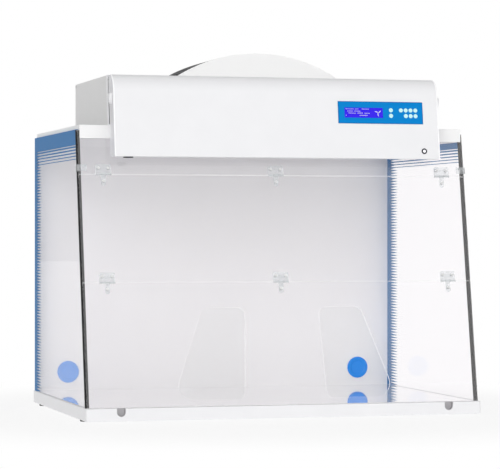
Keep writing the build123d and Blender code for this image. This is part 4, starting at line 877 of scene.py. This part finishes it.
class HOOD_OT_studio(bpy.types.Operator):
    """Makes the floor, the soft lights and the camera"""

    bl_idname = "hood.studio"
    bl_label = "Studio"

    def execute(self, context):
        scene = context.scene
        scene.view_settings.view_transform = "Standard"
        self.world(scene)
        self.floor()
        self.lamp("key", (-0.35, -1.0, 0.16), 1.6, 50)
        self.lamp("fill", (-1.0, 0.1, 0.25), 0.15, 70)
        self.lamp("top", (0.1, -0.15, 1.0), 0.25, 80)
        data = bpy.data.cameras.new("camera")
        data.sensor_width = SENSOR
        data.lens = SENSOR * FOCAL_PIXELS / PHOTO_WIDTH
        data.clip_end = 100
        camera = bpy.data.objects.new("camera", data)
        camera.location = EYE
        camera.rotation_euler = (math.radians(90), 0, EYE_TURN)
        scene.collection.objects.link(camera)
        scene.camera = camera
        return {"FINISHED"}

    def lamp(self, name, towards, power, spread):
        """A wide, even light from one direction."""
        data = bpy.data.lights.new(name, "SUN")
        data.energy = power
        data.angle = math.radians(spread)
        lamp = bpy.data.objects.new(name, data)
        back = np.array(towards, float)
        lamp.rotation_euler = (math.acos(back[2] / np.linalg.norm(back)), 0, math.atan2(back[0], -back[1]))
        bpy.context.scene.collection.objects.link(lamp)

    def world(self, scene):
        """A white room for the eye and through glass, a plain grey one as light, and for mirrors a grey one
        with one wide soft box in front, a little right and above, that veils the window evenly."""
        world = bpy.data.worlds.new("studio")
        world.use_nodes = True
        tree = world.node_tree
        tree.nodes.clear()
        path = tree.nodes.new("ShaderNodeLightPath")
        seen = most(tree, path.outputs["Is Camera Ray"], path.outputs["Is Transmission Ray"])
        place = tree.nodes.new("ShaderNodeTexCoord").outputs["Generated"]
        inputs = {0: place, 1: BOX_TOWARDS}
        towards = add_node(tree, "ShaderNodeVectorMath", inputs, operation="DOT_PRODUCT").outputs["Value"]
        box = ramp(tree, towards, 0.92, 0.975, ROOM_MIRRORED, BOX_MIRRORED)
        inputs = {0: path.outputs["Is Glossy Ray"], 2: ROOM_LIGHT, 3: box}
        strength = add_node(tree, "ShaderNodeMix", inputs).outputs[0]
        grey = add_node(tree, "ShaderNodeBackground", {"Color": WHITE, "Strength": strength}).outputs[0]
        white = add_node(tree, "ShaderNodeBackground", {"Color": WHITE, "Strength": 1.0}).outputs[0]
        output = tree.nodes.new("ShaderNodeOutputWorld")
        tree.links.new(mixed(tree, seen, grey, white), output.inputs["Surface"])
        scene.world = world

    def floor(self):
        """A pale floor: it takes the hood's shadow nearby and turns to the room's white further off."""
        material, tree, output = new_material("pale_floor")
        place = object_place(tree)
        dust = noise_at(tree, 0.3)
        diffuse = add_node(tree, "ShaderNodeBsdfPrincipled", {
            "Base Color": shaded(tree, dust, (0.93, 0.93, 0.93), 0.995, 1.005), "Roughness": 0.9,
            "Specular IOR Level": 0.0}).outputs[0]
        path = tree.nodes.new("ShaderNodeLightPath")
        seen = path.outputs["Is Camera Ray"]
        for name in ("Is Glossy Ray", "Is Transmission Ray"):
            seen = most(tree, seen, path.outputs[name])
        lift = add_node(tree, "ShaderNodeEmission", {"Strength": 1.0}).outputs[0]
        near = mixed(tree, between(tree, seen, 0.5, 0.85), diffuse, lift)
        far = add_node(tree, "ShaderNodeVectorMath", {0: place}, operation="LENGTH").outputs["Value"]
        fade = ramp(tree, far, 0.8, 1.5, kind="SMOOTHSTEP")
        white = add_node(tree, "ShaderNodeEmission", {"Strength": 1.0}).outputs[0]
        tree.links.new(mixed(tree, times(tree, fade, seen), near, white), output.inputs["Surface"])
        r = 40.0
        mesh = bpy.data.meshes.new("floor")
        mesh.from_pydata([(-r, -r, 0), (r, -r, 0), (r, r, 0), (-r, r, 0)], [], [(0, 1, 2, 3)])
        mesh.materials.append(material)
        floor = bpy.data.objects.new("floor", mesh)
        bpy.context.scene.collection.objects.link(floor)


class HOOD_PT_sidebar(bpy.types.Panel):
    """Lists the hood's steps and settings."""

    bl_label = "Fume Hood"
    bl_idname = "HOOD_PT_sidebar"
    bl_space_type = "VIEW_3D"
    bl_region_type = "UI"
    bl_category = "Fume Hood"

    def draw(self, context):
        for step in STEPS:
            self.layout.operator(step.bl_idname)
        for group in (context.scene.hood_colours, context.scene.hood_sizes):
            box = self.layout.box()
            for key in group.bl_rna.properties.keys():
                if key not in ("rna_type", "name"):
                    box.prop(group, key)


STEPS = (
    HOOD_OT_painted_sheet,
    HOOD_OT_chamber,
    HOOD_OT_clear_panels,
    HOOD_OT_hinge_fittings,
    HOOD_OT_turned_plastics,
    HOOD_OT_keypad,
    HOOD_OT_inner_works,
    HOOD_OT_studio,
)


def register():
    for group in (HoodColours, HoodSizes, *STEPS, HOOD_PT_sidebar):
        bpy.utils.register_class(group)
    bpy.types.Scene.hood_colours = bpy.props.PointerProperty(type=HoodColours)
    bpy.types.Scene.hood_sizes = bpy.props.PointerProperty(type=HoodSizes)


def unregister():
    del bpy.types.Scene.hood_sizes
    del bpy.types.Scene.hood_colours
    for group in (HOOD_PT_sidebar, *reversed(STEPS), HoodSizes, HoodColours):
        bpy.utils.unregister_class(group)


def main():
    """Runs every step in order."""
    register()
    for step in STEPS:
        family, name = step.bl_idname.split(".")
        getattr(getattr(bpy.ops, family), name)()


if __name__ == "__main__":
    main()
